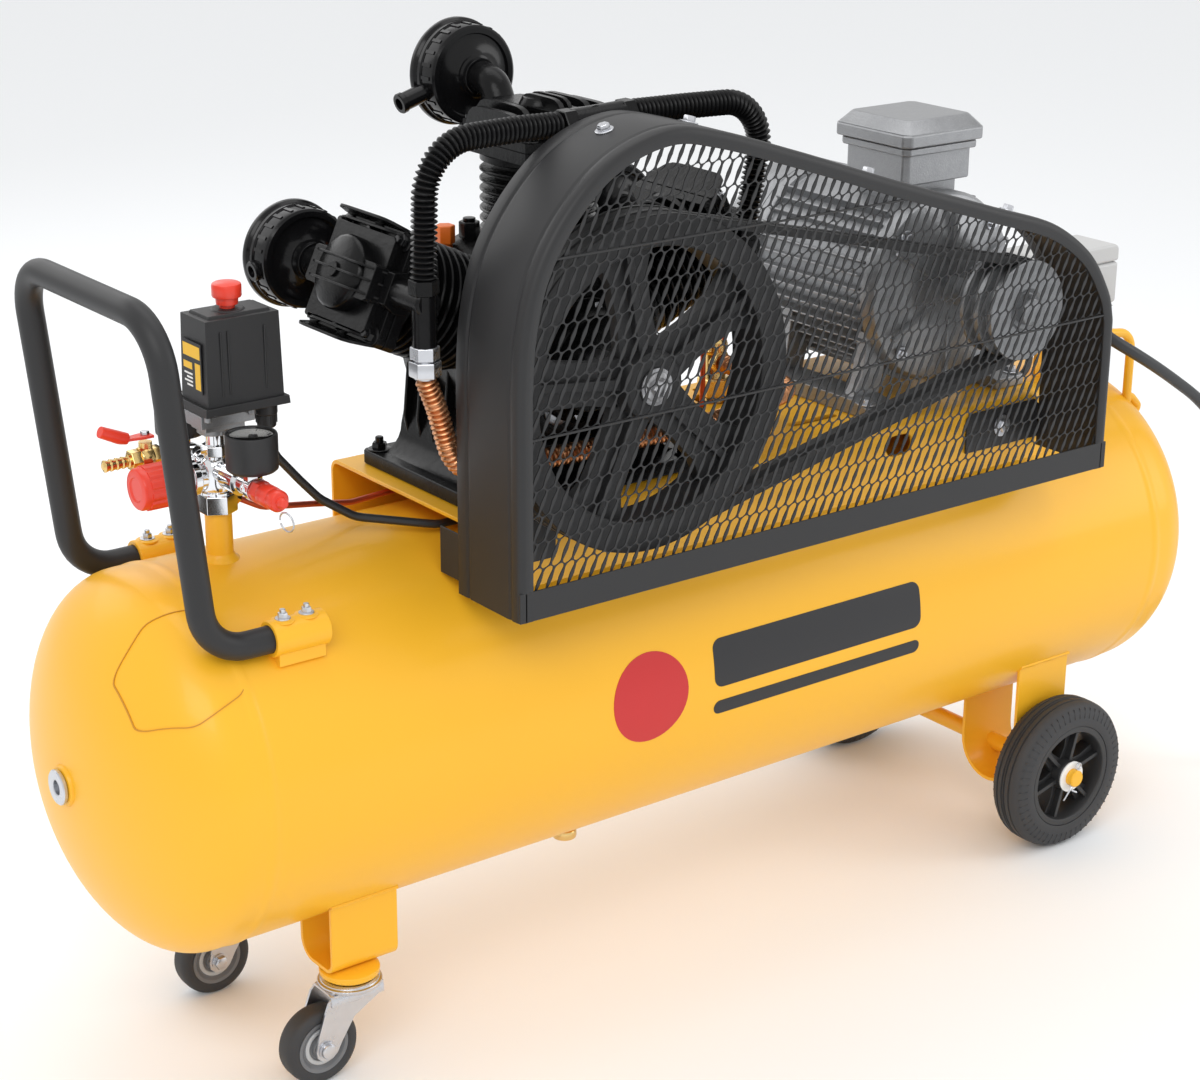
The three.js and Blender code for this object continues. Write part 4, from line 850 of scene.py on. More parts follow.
k.sweep(fillet([(-559, 38, 596.4), (-566, 38, 598.6), (-584, 38, 607)], 8, 5), lambda t: 5.2 + 0.9 * sin(min(1, t / 27) * pi), 20)
k.mat(1)
bolt(k, (-542, 38, 597), (0, 0, 1), 4.2, 3.6, washer=False)
k.obj("outlet_handle", [RED, ZINC], "outlet_lever", rep=("outlet_valve_lever",), bevel=0.5, slot="red_plastic")
for tag, yy in (("front", -65), ("rear", 62)):
    k = K()
    k.lathe([(0, 0), (12, 0), (20.2, 0.4), (22.2, 2.2), (22.5, 5), (22.5, 31.4), (21.8, 33), (20.4, 33), (20.0, 31.6), (20.0, 28), (0, 28)], (MX, yy, 583), (0, 0, 1), 72)
    k.obj("gauge_case_" + tag, BPL, rep=("gauge_" + tag,), sharp=50, slot="black_plastic")
    k = K()
    k.lathe([(0, 0), (19.6, 0), (19.6, 0.5), (0, 0.5)], (MX, yy, 611), (0, 0, 1), 64)
    k.mat(1)
    for i in range(31):
        a = rad(225 - 270 * i / 30)
        r0_, r1_, w_ = (14.6, 18.2, 0.34) if i % 5 == 0 else (16.4, 18.2, 0.18)
        ca, sa = cos(a + pi), sin(a + pi)
        k.box(r0_, r1_, -w_, w_, 611.5, 611.62, lambda X, Y, Z, ca=ca, sa=sa: (MX + X * ca - Y * sa, yy + X * sa + Y * ca, Z))
    k.mat(2)
    for i in range(12):
        a0, a1 = rad(225 - 270 * (18 + i) / 30) + pi, rad(225 - 270 * (19 + i) / 30) + pi
        k.put([(MX + r_ * cos(a), yy + r_ * sin(a), z_) for z_ in (611.48, 611.6) for r_, a in ((12.6, a0), (13.8, a0), (13.8, a1), (12.6, a1))],
              [(0, 3, 2, 1), (4, 5, 6, 7), (0, 1, 5, 4), (1, 2, 6, 5), (2, 3, 7, 6), (3, 0, 4, 7)])
    k.obj("gauge_dial_" + tag, [DIAL, INK, INKR], slot="grey_plastic")
    k = K()
    k.lathe([(0, 0), (2.3, 0), (2.3, 0.8), (1.6, 1.3), (0, 1.3)], (MX, yy, 612.2), (0, 0, 1), 24)
    k.prism([(MX - 15, yy - 0.25), (MX + 5.5, yy - 1.1), (MX + 5.5, yy + 1.1), (MX - 15, yy + 0.25)], "z", 612.35, 612.95)
    k.obj("gauge_hand_" + tag, INK, "needle_" + tag, rep=("gauge_needle_" + tag,), slot="red_plastic")
    k = K()
    k.lathe([(0, 0), (20.1, 0), (20.1, 1.2), (17, 1.7), (0, 1.8)], (MX, yy, 614.1), (0, 0, 1), 64)
    k.obj("gauge_lens_" + tag, LENS, slot="chrome")
k = K()
k.hexa((MX, -72.4, 567), (MX, -84, 567), 10.6, 0.9)
k.lathe([(0, 0), (9.4, 0), (10, 1), (10, 14), (9, 16.4), (9.6, 18), (9.6, 24), (8, 26.4), (5, 27), (4.6, 32), (3.6, 34), (0, 34.4)], (MX, -83.4, 567), (0, -1, 0), 36)
k.obj("relief_valve", RED, rep=("safety_valve",), bevel=0.4, slot="red_plastic")
k = K()
cr = Vector((MX, -119.6, 552.0)); dr = Vector((1, 0.2, 0.1)).normalized(); u, w, _ = frame_for(dr)
k.sweep([cr + (u * cos(rad(a)) + w * sin(rad(a))) * 8.5 for a in range(0, 351, 9)], 0.85, 12)
k.obj("relief_pull_ring", ZINC, "relief_ring", rep=("safety_ring",), slot="zinc")
k = K()
ut = fillet([(-478, 0, 538), (-450, 2, 522), (-392, 10, 511), (-345, 26, 498), (-290, 40, 495), (60, 50, 495), (97, 52, 495)], 30, 8)
k.sweep(even(ut, 6), 2.9, 16)
k.obj("unloader_line", COPRED, rep=("unloader_tube",), slot="copper")
k = K()
k.hexa((-474, 0.4, 535.5), (-484, 0, 541), 5.6, 0.6)
k.obj("unloader_nut", BRASS, bevel=0.3, slot="brass")
k = K()
sc = fillet([(-450, -12, 598.9), (-444, -12, 574), (-418, -10, 544), (-399, -11, 523), (-368, -20, 502), (-300, -50, 489), (400, -55, 489), (474, -40, 500), (490, -28, 526), (490, -20, 551.5)], 30, 8)
k.sweep(even(sc, 6), 3.9, 16)
k.obj("switch_lead", CABL, rep=("switch_cable",), slot="cable_rubber")
# pressure switch
k = K()
k.box(-519, -467, -23, 15, 612, 623.6)
k.box(-512, -474, -17, 9, 606, 613)
k.rod((MX, 0, 600), (MX, 0, 608), 14, 36, c=1)
k.hexa((MX, 0, 600), (MX, 0, 604), 15, 0.6)
for x, yy in ((-514, -26), (-472, -26), (-514, 18), (-472, 18)):
    k.rod((x, yy if yy > 0 else yy, 619), (x, yy, 623.6), 3.5, 16)
k.obj("switch_foot", MOT, rep=("switch_base",), bevel=1.2, seg=3, slot="motor_alloy")
k = K()


def taper(k, x0, x1, y0, y1, z0, z1, dx, dy):
    k.put([(x0, y0, z0), (x1, y0, z0), (x1, y1, z0), (x0, y1, z0), (x0 + dx, y0 + dy, z1), (x1 - dx, y0 + dy, z1), (x1 - dx, y1 - dy, z1), (x0 + dx, y1 - dy, z1)],
          [(0, 3, 2, 1), (4, 5, 6, 7), (0, 1, 5, 4), (1, 2, 6, 5), (2, 3, 7, 6), (3, 0, 4, 7)])


taper(k, -519, -437, -33, 21, 624.2, 631.6, 0.6, 0.6)
taper(k, -515, -441, -29.4, 17.4, 629, 706.5, 1.6, 1.4)
taper(k, -509, -447, -24, 12, 704, 709, 2, 2)
k.lathe([(0, 0), (15, 0), (15, 2.0), (13.4, 3.2), (0, 3.2)], (-480, -6, 707), (0, 0, 1), 40)
for x in (-500, -493, -458):
    k.box(x - 0.9, x + 0.9, -29.9, -28.6, 640, 696)
k.obj("switch_hood", BPL, rep=("switch_cover",), bevel=2.2, seg=4, slot="black_plastic")
k = K()
for yy, z0 in ((-12, 600), (9, 604)):
    k.lathe([(0, 0), (7, 0), (8.4, 1.4), (8.8, 8), (8.8, 12), (10, 13), (10, 24), (0, 24)], (-450, yy, z0), (0, 0, 1), 32)
    for i in range(12):
        a = 2 * pi * i / 12
        k.box(8.2, 9.5, -0.8, 0.8, z0 + 4, z0 + 12, lambda X, Y, Z, a=a, yy=yy: (-450 + X * cos(a) - Y * sin(a), yy + X * sin(a) + Y * cos(a), Z))
k.obj("switch_glands", BPL, bevel=0.4, slot="black_plastic")
k = K()
k.rod((-480, -6, 694), (-480, -6, 727), 6.6, 32)
k.lathe([(0, 0), (9.4, 0), (9.8, 5.4), (12.2, 6.2), (12.8, 7.4), (12.8, 16), (12.2, 17.6), (10.5, 18.5), (0, 19)], (-480, -6, 713.4), (0, 0, 1), 48)
k.obj("switch_push_knob", RED, "switch_button", rep=("switch_knob",), slot="red_plastic")
# plain label on the switch side: colour blocks only
k = K()
k.box(-515.9, -515.2, -22, 11, 642, 686)
k.mat(1); k.box(-516.1, -515.8, -20, 9, 672, 683); k.box(-516.1, -515.8, -20, -11, 645, 668); k.box(-516.1, -515.8, -6, 9, 661, 667)
k.mat(2)
for i in range(4): k.box(-516.1, -515.8, -6, 8 - (i % 2) * 4, 656 - i * 3.4, 657.6 - i * 3.4)
k.obj("switch_side_label", [INK, LABY, DIAL], slot="black_plastic")

# ------------------------------------------------------------------ pump
CX, CZ = -168.3, 632.2
OUT_Y = -107.0


def dirw(a): return Vector((sin(rad(a)), 0, cos(rad(a))))
def along(a, y, r): return Vector((CX, y, CZ)) + dirw(a) * r
def loc(a, y0):
    ca, sa = cos(rad(a)), sin(rad(a))
    return lambda t, y, r: (CX + r * sa + t * ca, y0 + y, CZ + r * ca - t * sa)


CYL = {"left": (-65, -9, 195), "centre": (0, -26, 226), "right": (65, -35, 195)}
k = K()
k.lathe([(0, -92), (78, -92), (90, -88), (95, -80), (95, -60), (93, -56), (93, 40), (95, 44), (95, 62), (90, 70), (78, 74), (0, 74)], (CX, 0, CZ), (0, 1, 0), 96)
ped = [(-292, 523)] + [(-262 - 26 * (1 - sin(rad(a))), 549 - 26 * cos(rad(a))) for a in range(0, 91, 15)] + [(-257, 570), (-252, 600), (-84, 600), (-79, 570)] + [(-74 + 26 * (1 - sin(rad(a))), 549 - 26 * cos(rad(a))) for a in range(90, -1, -15)] + [(-45, 523)]
k.prism(ped, "y", -86, 68)
k.prism([(-293, -110), (-289, -114), (-47, -114), (-43, -110), (-43, 85), (-47, 89), (-289, 89), (-293, 85)], "z", 510.3, 524)
k.lathe([(0, 0), (62, 0), (62, 8), (57, 14), (20, 16), (0, 16)], (CX, 72, CZ), (0, 1, 0), 72)
k.lathe([(0, 0), (58, 0), (58, 8), (50, 12), (44, 22), (30, 23), (0, 23)], (CX, -90, CZ), (0, -1, 0), 72)
for name in CYL:
    a, y, _ = CYL[name]
    k.lathe([(0, 55), (50, 55), (50, 88), (54, 90), (54, 97), (0, 97)], (CX, y, CZ), dirw(a), 56)
for i in range(7):                                         # stiffening ribs of the case
    yy = -76 + i * 22
    k.prism([(-262, 540), (-266, 560), (-258, 640), (-246, 672), (-238, 672), (-240, 540)], "y", yy - 2, yy + 2)
    k.prism([(-74, 540), (-70, 560), (-78, 640), (-90, 672), (-98, 672), (-96, 540)], "y", yy - 2, yy + 2)
k.lathe([(0, 0), (14.6, 0), (14.6, 22), (13, 25), (0, 25)], (-219, 52, 690), (0, 0, 1), 32)
k.obj("pump_case", CAST, rep=("crankcase",), bevel=1.6, seg=3, slot="black_cast")
k = K()
for x in (-281, -55):
    for y in (-101, 76):
        bolt(k, (x, y, 524), (0, 0, 1), 7.4, 6, start=0.3)
        k.rod((x, y, 530), (x, y, 537), 4, 20, c=0.7)
k.obj("pump_foot_bolts", GLOSSK, bevel=0.4, slot="black_cast")
k = K()
for R_, n_, y_, d_ in ((52, 8, 82, 1), (50, 6, -98, -1)):
    for i in range(n_):
        a = 2 * pi * i / n_ + 0.3
        bolt(k, (CX + R_ * cos(a), y_, CZ + R_ * sin(a)), (0, d_, 0), 5, 4, washer=False)
k.lathe([(0, 0), (15, 0), (15, 2), (13, 3), (0, 3)], (-196, -92, 590), (0, -1, 0), 32)
k.obj("case_cover_bolts", ZINC, bevel=0.3, slot="zinc")
k = K()
k.rod((-219, 52, 702), (-219, 52, 720), 6.9, 24)
k.hexa((-219, 52, 718.5), (-219, 52, 736), 9.6, 1.2)
k.obj("filler_cap_knob", ORG, "filler_cap", rep=("oil_cap",), bevel=0.8, slot="orange_plastic")
k = K()
k.rod((-196, 46, 712), (-196, 46, 724), 8.4, 24)
k.hexa((-196, 46, 722), (-196, 46, 738), 10, 1.2)
k.lathe([(0, 0), (6, 0), (6, 3), (0, 3.4)], (-196, 46, 738), (0, 0, 1), 24)
k.obj("breather_cap", GLOSSK, bevel=0.6, slot="black_plastic")

for name in CYL:
    a, y, zr = CYL[name]
    k = K()
    pr = [(0, 97.4), (52, 97.4), (53.5, 98.4), (53.5, 102.5), (52, 104), (42, 105)]
    for i in range(7):
        h = 109 + i * 9
        pr += [(41, h - 1.2), (52.6, h), (53.8, h + 0.9), (53.8, h + 1.9), (52.6, h + 2.8), (41, h + 4)]
    pr += [(41, 171), (50, 172), (53.4, 173.4), (53.4, 179), (0, 179)]
    k.lathe(pr, (CX, y, CZ), dirw(a), 80)
    k.obj("barrel_" + name, CAST, rep=("cylinder_" + name,), sharp=30, slot="black_cast")
    L = loc(a, y)
    k = K()
    cc = [(-48, -56), (48, -56), (52, -52), (52, 52), (48, 56), (-48, 56), (-52, 52), (-52, -52)]
    k.prism(cc, "z", 179.3, 190, L)
    cc2 = [(u * 0.97, v * 0.97) for u, v in cc]
    k.prism(cc2, "z", 189, 191.5, L)
    k.prism(cc, "z", 191, 199, L)
    k.prism([(u * 0.84, v * 0.86) for u, v in cc], "z", 198, 211, L)
    def blade(t, th, y0_, y1_, top, lean=0.0, n_=4, L=L):
        arch = [(y0_ - 2, 196), (y0_, 204)] + [(y0_ + (y1_ - y0_) * i / 14, 204 + (top - 204) * (1 - abs((i - 7) / 7.0) ** n_)) for i in range(1, 14)] + [(y1_, 204), (y1_ + 2, 196)]
        k.prism(arch, "x", t, t + th, lambda X, Y, Z: L(X + lean * (Z - 196), Y, Z))
    if name == "centre":
        for t, th, y0_, y1_, top, ln in ((-50, 6, -50, 42, 222, -0.10), (-36, 6, -40, 50, 226, -0.06), (-7, 5, -50, 26, 231, 0), (5, 4, -46, 30, 231, 0), (28, 6, -40, 50, 226, 0.06), (43, 6, -50, 42, 222, 0.10)):
            blade(t, th, y0_, y1_, top, ln, 6)
        k.lathe([(0, 200), (18, 200), (18, 222), (14, 228), (0, 229)], (CX, y, CZ), dirw(a), 48)
    else:
        for t, th, y0_, y1_, top, ln in ((-52, 2.6, -50, 50, 222, -0.16), (-47, 2.6, -50, 44, 214, 0), (-12, 2.2, -54, 50, 230.6, 0), (0, 2.2, -54, 50, 231.4, 0), (11, 2.2, -54, 50, 230.6, 0), (46, 2.6, -50, 44, 214, 0), (50, 2.6, -50, 50, 222, 0.16)):
            blade(t, th, y0_, y1_, top, ln, 8)
        k.lathe([(0, 198), (34, 198), (34, 221), (33, 224), (30, 226.4), (12, 228.6), (0, 229)], L(0, 0, 0), dirw(a), 64)
        k.lathe([(0, 224), (7, 224), (7, 231.4), (0, 231.4)], L(0, 0, 0), dirw(a), 24)
    k.prism([(-15, -50), (15, -50), (17, -46), (17, 46), (15, 50), (-15, 50), (-17, 46), (-17, -46)], "z", 205, 222, L)
    fy = 66 if name == "centre" else 75
    if name == "centre":
        k.sweep(fillet([(CX, 26, 830), (CX, 44, 862), (CX + 1, fy - 0.4, 865)], 14, 8), 15, 32)
        k.sweep(fillet([(CX, y - 40, 842), (CX, -84, 846), (CX, OUT_Y - 6, 852)], 10, 6), 13, 32)
        k.hexa((-203.6, OUT_Y, 851), (-190, OUT_Y, 851.4), 13.6, 1)
        k.rod((-192, OUT_Y, 851.4), (-138, OUT_Y, 853.4), 12, 32)
        k.hexa((-139, OUT_Y, 853.4), (-126, OUT_Y, 854), 13.6, 1)
    else:
        k.rod(L(0, 40, zr), L(0, fy - 0.4 - y, zr), 15, 36)
        k.prism([(-19, 180), (19, 180), (21, 196), (16, 212), (-16, 212), (-21, 196)], "y", 44, 60, L)
        k.rod(L(0, -46, 197), L(0, OUT_Y - 8 - y, 197), 12.5, 36, c=2)
        k.prism([(-17, 183), (17, 183), (19, 197), (14, 210), (-14, 210), (-19, 197)], "y", -62, -50, L)
        e = along(a, OUT_Y, 197)
        k.rod((e.x, OUT_Y, 676 if name == "left" else 702), (e.x, OUT_Y, 736), 11, 36)
        k.hexa((e.x, OUT_Y, 722), (e.x, OUT_Y, 735.8), 13.6, 1)
    k.obj("head_casting_" + name, CAST, rep=("head_" + name,), bevel=1.1, seg=2, slot="black_cast")
    k = K()
    for t in (-43, 43):
        for v in (-47, 0, 47):
            p0 = Vector(L(t, v, 199)); bolt(k, p0, dirw(a), 6.2, 6, start=0.2)
            k.rod(p0 + dirw(a) * 6, p0 + dirw(a) * 11, 3.6, 16, c=0.5)
    k.obj("head_bolts_" + name, GLOSSK if name != "right" else ZINC, bevel=0.35, slot="black_cast")
    # intake filter: cone face towards the guard, felt ring behind it
    fc = Vector((CX + 1, fy, 865)) if name == "centre" else Vector(L(0, fy - y, zr))
    ft = fc + (Vector((-72, 28, -22)) if name == "centre" else Vector((-50, 28, -8)) if name == "left" else Vector((62, 28, -8)))
    k = K()
    k.lathe([(0, 0), (16.6, 0), (17, 0.8), (17, 5), (19.4, 6), (19.4, 8.6), (24, 11.5), (33, 13.4), (37.4, 13.6), (38.6, 11.2), (43.5, 11.4), (45.6, 12.8), (46, 15), (46, 30), (47.6, 31), (47.6, 36), (49.6, 38), (50, 40), (50, 43), (49, 45), (46, 46.4), (40, 48), (20, 49), (0, 49)], fc, (0, 1, 0), 96)
    for i in range(24):
        q = 2 * pi * i / 24
        k.box(45.2, 47, -1.6, 1.6, 16.5, 29.5, lambda X, Y, Z, q=q, fc=fc: (fc.x + X * cos(q) - Y * sin(q), fc.y + Z, fc.z + X * sin(q) + Y * cos(q)))
    dd = (ft - Vector((fc.x, ft.y, fc.z))).normalized()
    st = Vector((fc.x, ft.y, fc.z)) + dd * 40
    k.lathe([(0, 0), (8.6, 0), (8.6, (ft - st).length - 6), (9.6, (ft - st).length - 5), (9.6, (ft - st).length - 1), (8.8, (ft - st).length), (5.6, (ft - st).length), (5.6, (ft - st).length - 12), (0, (ft - st).length - 12)], st, dd, 32)
    k.obj("intake_filter_" + name, GLOSSK, rep=("filter_" + name,), sharp=28, slot="black_cast")


def finned(lo, hi, pitch):
    def f(s):
        q = (s % pitch) / pitch
        return lo + (hi - lo) * (0.5 - 0.5 * cos(2 * pi * q)) ** 0.7
    return f


eL, eR = along(-65, OUT_Y, 197), along(65, OUT_Y, 197)
k = K()
k.sweep(even(fillet([(-205.2, OUT_Y, 851), (-250, OUT_Y, 852), (-343, OUT_Y, 850), (eL.x, OUT_Y, 737)], [20, 48], 14), 0.8), finned(8.2, 11.7, 4.8), 28)
k.obj("discharge_hose_left", PIPE, rep=("discharge_left",), sharp=70, slot="black_pipe")
k = K()
k.sweep(even(fillet([(-124.6, OUT_Y, 854), (-68, OUT_Y, 853), (30, OUT_Y, 850), (eR.x, OUT_Y, 738.4)], [20, 42], 14), 0.8), finned(8.2, 11.7, 4.8), 28)
k.obj("discharge_hose_right", PIPE, rep=("discharge_right",), sharp=70, slot="black_pipe")
k = K()
dl = even(fillet([(eL.x, OUT_Y, 648), (-336, OUT_Y, 620), (-316, OUT_Y, 552), (-20, OUT_Y - 1, 551), (110, -72, 551), (110, 39.6, 551)], [60, 44, 60, 40], 12), 0.85)
k.sweep(dl, finned(6.4, 9.9, 5.0), 24)
k.obj("delivery_line", COPPER, rep=("delivery_pipe",), sharp=70, slot="copper")
k = K()
k.hexa((eL.x, OUT_Y, 650), (eL.x, OUT_Y, 664), 14.2, 1.2)
k.hexa((eL.x, OUT_Y, 665), (eL.x, OUT_Y, 677), 13, 1.0)
k.rod((eL.x, OUT_Y, 648), (eL.x, OUT_Y, 690), 9.5, 24)
k.obj("discharge_nut", ZINC, bevel=0.4, slot="zinc")
k = K()
k.lathe([(0, 0), (13, 0), (13, 42), (12, 44), (12, 84), (13.4, 86), (13.4, 96), (11, 99), (0, 99)], (110, 55, 475.4), (0, 0, 1), 40)
k.hexa((110, 55, 514), (110, 55, 534), 17.2, 1.2); k.hexa((110, 55, 562), (110, 55, 570), 14.4, 0.8)
k.lathe([(0, 0), (11, 0), (11, 11), (10, 12), (10, 14.4), (0, 14.4)], (110, 55 - 0.0, 551), (0, -1, 0), 32)
k.hexa((110, 47, 551), (110, 41, 551), 12.4, 0.8)
k.lathe([(0, 0), (6, 0), (6, 10), (0, 10)], (97, 52, 495), (1, 0, 0), 24)
k.obj("non_return_valve", BRASS, rep=("check_valve",), bevel=0.4, slot="brass")
k = K()
k.sweep(even(fillet([(116, 50, 567), (122, 44, 594), (96, 36, 604), (78, 34, 590), (80, 36, 520), (84, 44, 498)], 16, 8), 3), 2.8, 16)
k.obj("pilot_loop", COPRED, slot="copper")

# ------------------------------------------------------------------ flywheel, pulley, belts
FR, FY0, FY1 = 152.0, -199.0, -155.0
BY = (-187.0, -167.0)


def rim(R):
    lo = R - 9.6
    p = [(R - 0.8, FY0), (R, FY0 + 0.8)]
    for y in BY: p += [(R, y - 7.2), (lo, y - 5.4), (lo, y + 5.4), (R, y + 7.2)]
    return p + [(R, FY1 - 0.8), (R - 0.8, FY1)]


k = K()
k.lathe([(125, FY0)] + rim(FR) + [(125, FY1), (123.6, FY1 - 1), (126, -177), (123.6, FY0 + 1), (125, FY0)], (CX, 0, CZ), (0, 1, 0), 120)
k.lathe([(15.2, FY0 - 0.5), (28, FY0 - 0.5), (31, FY0 + 2), (33, -178), (31, FY1 - 2), (28, FY1), (15.2, FY1), (15.2, FY0 - 0.5)], (CX, 0, CZ), (0, 1, 0), 60)
for i in range(5):
    a = 2 * pi * i / 5 + 0.5
    def xf(X, Y, Z, a=a): return (CX + X * cos(a) - Z * sin(a), Y, CZ + X * sin(a) + Z * cos(a))
    web = [(26, -22), (60, -19), (100, -21), (125, -33), (125, 33), (100, 21), (60, 19), (26, 22)]
    k.prism(web, "y", -183, -171, xf)
    k.prism([(28, -5), (124.5, -3.6), (124.5, 3.6), (28, 5)], "y", -190, -164, xf)
k.obj("fly_casting", CHA, "crank", rep=("flywheel",), bevel=1.8, seg=3, slot="charcoal_paint")
k = K()
k.rod((CX, -202, CZ), (CX, 55, CZ), 14.9, 40, c=1)
k.lathe([(0, 0), (16.5, 0), (17, 0.6), (17, 2.4), (0, 2.4)], (CX, -199.6, CZ), (0, -1, 0), 32)
bolt(k, (CX, -202, CZ), (0, -1, 0), 9, 6)
k.obj("crank_spindle", STEEL, "crank", rep=("crankshaft",), bevel=0.3, slot="steel")
MXX, MZ = 296.6, 628.3
k = K()
k.lathe([(0, FY0 + 4), (18, FY0 + 4), (22, FY0 + 1), (44, FY0)] + rim(50)[1:-1] + [(44, FY1), (22, FY1 - 1), (18, FY1), (0, FY1)], (MXX, 0, MZ), (0, 1, 0), 80)
k.rod((MXX, -206, MZ), (MXX, 55, MZ), 13.9, 40, c=1)
k.box(-2.5, 2.5, -205, -150, 12, 16.4, lambda X, Y, Z: (MXX + X, Y, MZ + Z))
k.obj("drive_pulley", MOT, "motor_rotor", rep=("motor_pulley",), bevel=0.4, slot="motor_alloy")


def loop(off, n1=64, n2=28):
    r1, r2 = FR - 1 - off, 50 - 1 - off
    dx, dz = MXX - CX, MZ - CZ
    D = math.hypot(dx, dz); b = math.atan2(dz, dx); t = math.asin((FR - 50) / D)
    pts = [(CX + r1 * cos(b + pi / 2 - t + i / n1 * (pi + 2 * t)), CZ + r1 * sin(b + pi / 2 - t + i / n1 * (pi + 2 * t))) for i in range(n1 + 1)]
    return pts + [(MXX + r2 * cos(b - pi / 2 + t + i / n2 * (pi - 2 * t)), MZ + r2 * sin(b - pi / 2 + t + i / n2 * (pi - 2 * t))) for i in range(n2 + 1)]


for tag, y in zip(("front", "rear"), BY):
    k = K()
    O, M_, I = loop(0), loop(2.0), loop(7.9)
    n = len(O); ring = []
    for pts, w in ((O, 6.1), (M_, 6.4), (I, 4.6)): ring += [[(x, y - w, z) for x, z in pts], [(x, y + w, z) for x, z in pts]]
    rows = [ring[0], ring[2], ring[4], ring[5], ring[3], ring[1]]
    vs = [v for r_ in rows for v in r_]
    fs = [(q * n + i, q * n + (i + 1) % n, ((q + 1) % 6) * n + (i + 1) % n, ((q + 1) % 6) * n + i) for q in range(6) for i in range(n)]
    k.put(vs, fs)
    k.obj("belt_" + tag, BELT, rep=("v_belt_" + tag,), sharp=30, slot="belt_rubber")

# ------------------------------------------------------------------ motor
k = K()
k.lathe([(0, -92), (40, -92), (58, -91), (62, -88), (80, -85), (94, -80), (97, -74), (97, -62), (92, -60), (92, 96), (97, 98), (97, 112), (92, 116), (0, 116)], (MXX, 0, MZ), (0, 1, 0), 96)
for i in range(44):
    a = 2 * pi * i / 44 + 0.07
    if sin(a) > 0.86: continue
    def xf(X, Y, Z, a=a): return (MXX + X * cos(a) - Z * sin(a), Y, MZ + X * sin(a) + Z * cos(a))
    k.prism([(90, -1.7), (102.6, -1.0), (102.6, 1.0), (90, 1.7)], "y", -60, 98, xf)
for s in (-1, 1):
    k.prism([(-96, 510.3), (96, 510.3), (96, 521), (70, 526), (-70, 526), (-96, 521)], "x", MXX + s * 91 - 20, MXX + s * 91 + 20, lambda X, Y, Z: (X, Y, Z))
    k.prism([(MXX + s * 70, 520), (MXX + s * 108, 520), (MXX + s * 92, 545), (MXX + s * 86, 590), (MXX + s * 60, 560)], "y", -66, -50)
    k.prism([(MXX + s * 70, 520), (MXX + s * 108, 520), (MXX + s * 92, 545), (MXX + s * 86, 590), (MXX + s * 60, 560)], "y", 50, 66)
k.box(262, 331, -56, 12, 700, 734)
for i in range(6):
    a = 2 * pi * i / 6 + 0.5
    def xf(X, Y, Z, a=a): return (MXX + X * cos(a) - Z * sin(a), Y, MZ + X * sin(a) + Z * cos(a))
    k.prism([(30, -3), (88, -2), (88, 2), (30, 3)], "y", -94.5, -88, xf)
k.obj("motor_case", MOT, rep=("motor_body",), bevel=0.9, seg=2, slot="motor_alloy")
k = K()
k.lathe([(94, 112), (97, 113), (97, 150), (94, 158), (84, 164), (60, 166), (24, 166), (24, 163), (58, 163), (82, 161), (92, 155), (94.4, 149), (94, 112)], (MXX, 0, MZ), (0, 1, 0), 80)
for i in range(20):
    a = 2 * pi * i / 20
    def xf(X, Y, Z, a=a): return (MXX + X * cos(a) - Z * sin(a), Y, MZ + X * sin(a) + Z * cos(a))
    k.box(20, 86, 162, 165, -2.2, 2.2, xf)
for r_ in (26, 46, 66):
    k.lathe([(r_, 161.6), (r_ + 3.4, 161.6), (r_ + 3.4, 165), (r_, 165), (r_, 161.6)], (MXX, 0, MZ), (0, 1, 0), 64)
k.obj("fan_cowl", MOT, sharp=30, slot="motor_alloy")
k = K()
for i in range(4):
    a = pi / 4 + pi / 2 * i
    bolt(k, (MXX + 84 * cos(a), -86, MZ + 84 * sin(a)), (0, -1, 0), 5, 4)
for s in (-1, 1):
    for y in (-84, 84): bolt(k, (MXX + s * 102, y, 522.6), (0, 0, 1), 6.6, 5)
k.obj("motor_bolts", ZINC, bevel=0.3, slot="zinc")
k = K()
k.prism([(250, -62), (255, -67), (338, -67), (343, -62), (343, 18), (338, 23), (255, 23), (250, 18)], "z", 733.3, 768)
k.prism([(246, -66), (251, -72), (342, -72), (347, -66), (347, 22), (342, 28), (251, 28), (246, 22)], "z", 764, 772)
k.obj("terminal_body", MOT, rep=("terminal_box",), bevel=2.0, seg=3, slot="motor_alloy")
k = K()
k.prism([(241, -70), (248, -77), (345, -77), (352, -70), (352, 26), (345, 33), (248, 33), (241, 26)], "z", 773.2, 786)
def lid(z, q): return [(296.5 + (x - 296.5) * q, -22 + (y + 22) * q, z) for x, y in [(241, -70), (248, -77), (345, -77), (352, -70), (352, 26), (345, 33), (248, 33), (241, 26)]]
k.put(lid(785.5, 0.985) + lid(798.5, 0.78), [tuple(range(8))[::-1], tuple(range(8, 16))] + [(i, (i + 1) % 8, 8 + (i + 1) % 8, 8 + i) for i in range(8)])
k.obj("terminal_cover", MOT, bevel=2.0, seg=3, slot="motor_alloy")
k = K()
for x in (251, 342):
    for y in (-67, 23): k.lathe([(0, 0), (4.6, 0), (4.6, 1.6), (3.6, 3), (0, 3.2)], (x, y, 786), (0, 0, 1), 24)
k.obj("terminal_screws", ZINC, sharp=40, slot="zinc")
k = K()
k.lathe([(0, 0), (11, 0), (11, 7), (9, 8), (9, 13), (7, 16), (0, 16)], (343, -20, 750), (1, 0, 0), 32)
k.sweep(even(fillet([(357, -20, 750), (374, -20, 752), (382, -12, 784), (392, 20, 740), (392, 40, 640), (418, 50, 560), (440, 20, 500), (470, -6, 500), (500, -10, 556)], [14, 12, 30, 40, 40, 30, 30], 8), 5), 5.2, 16)
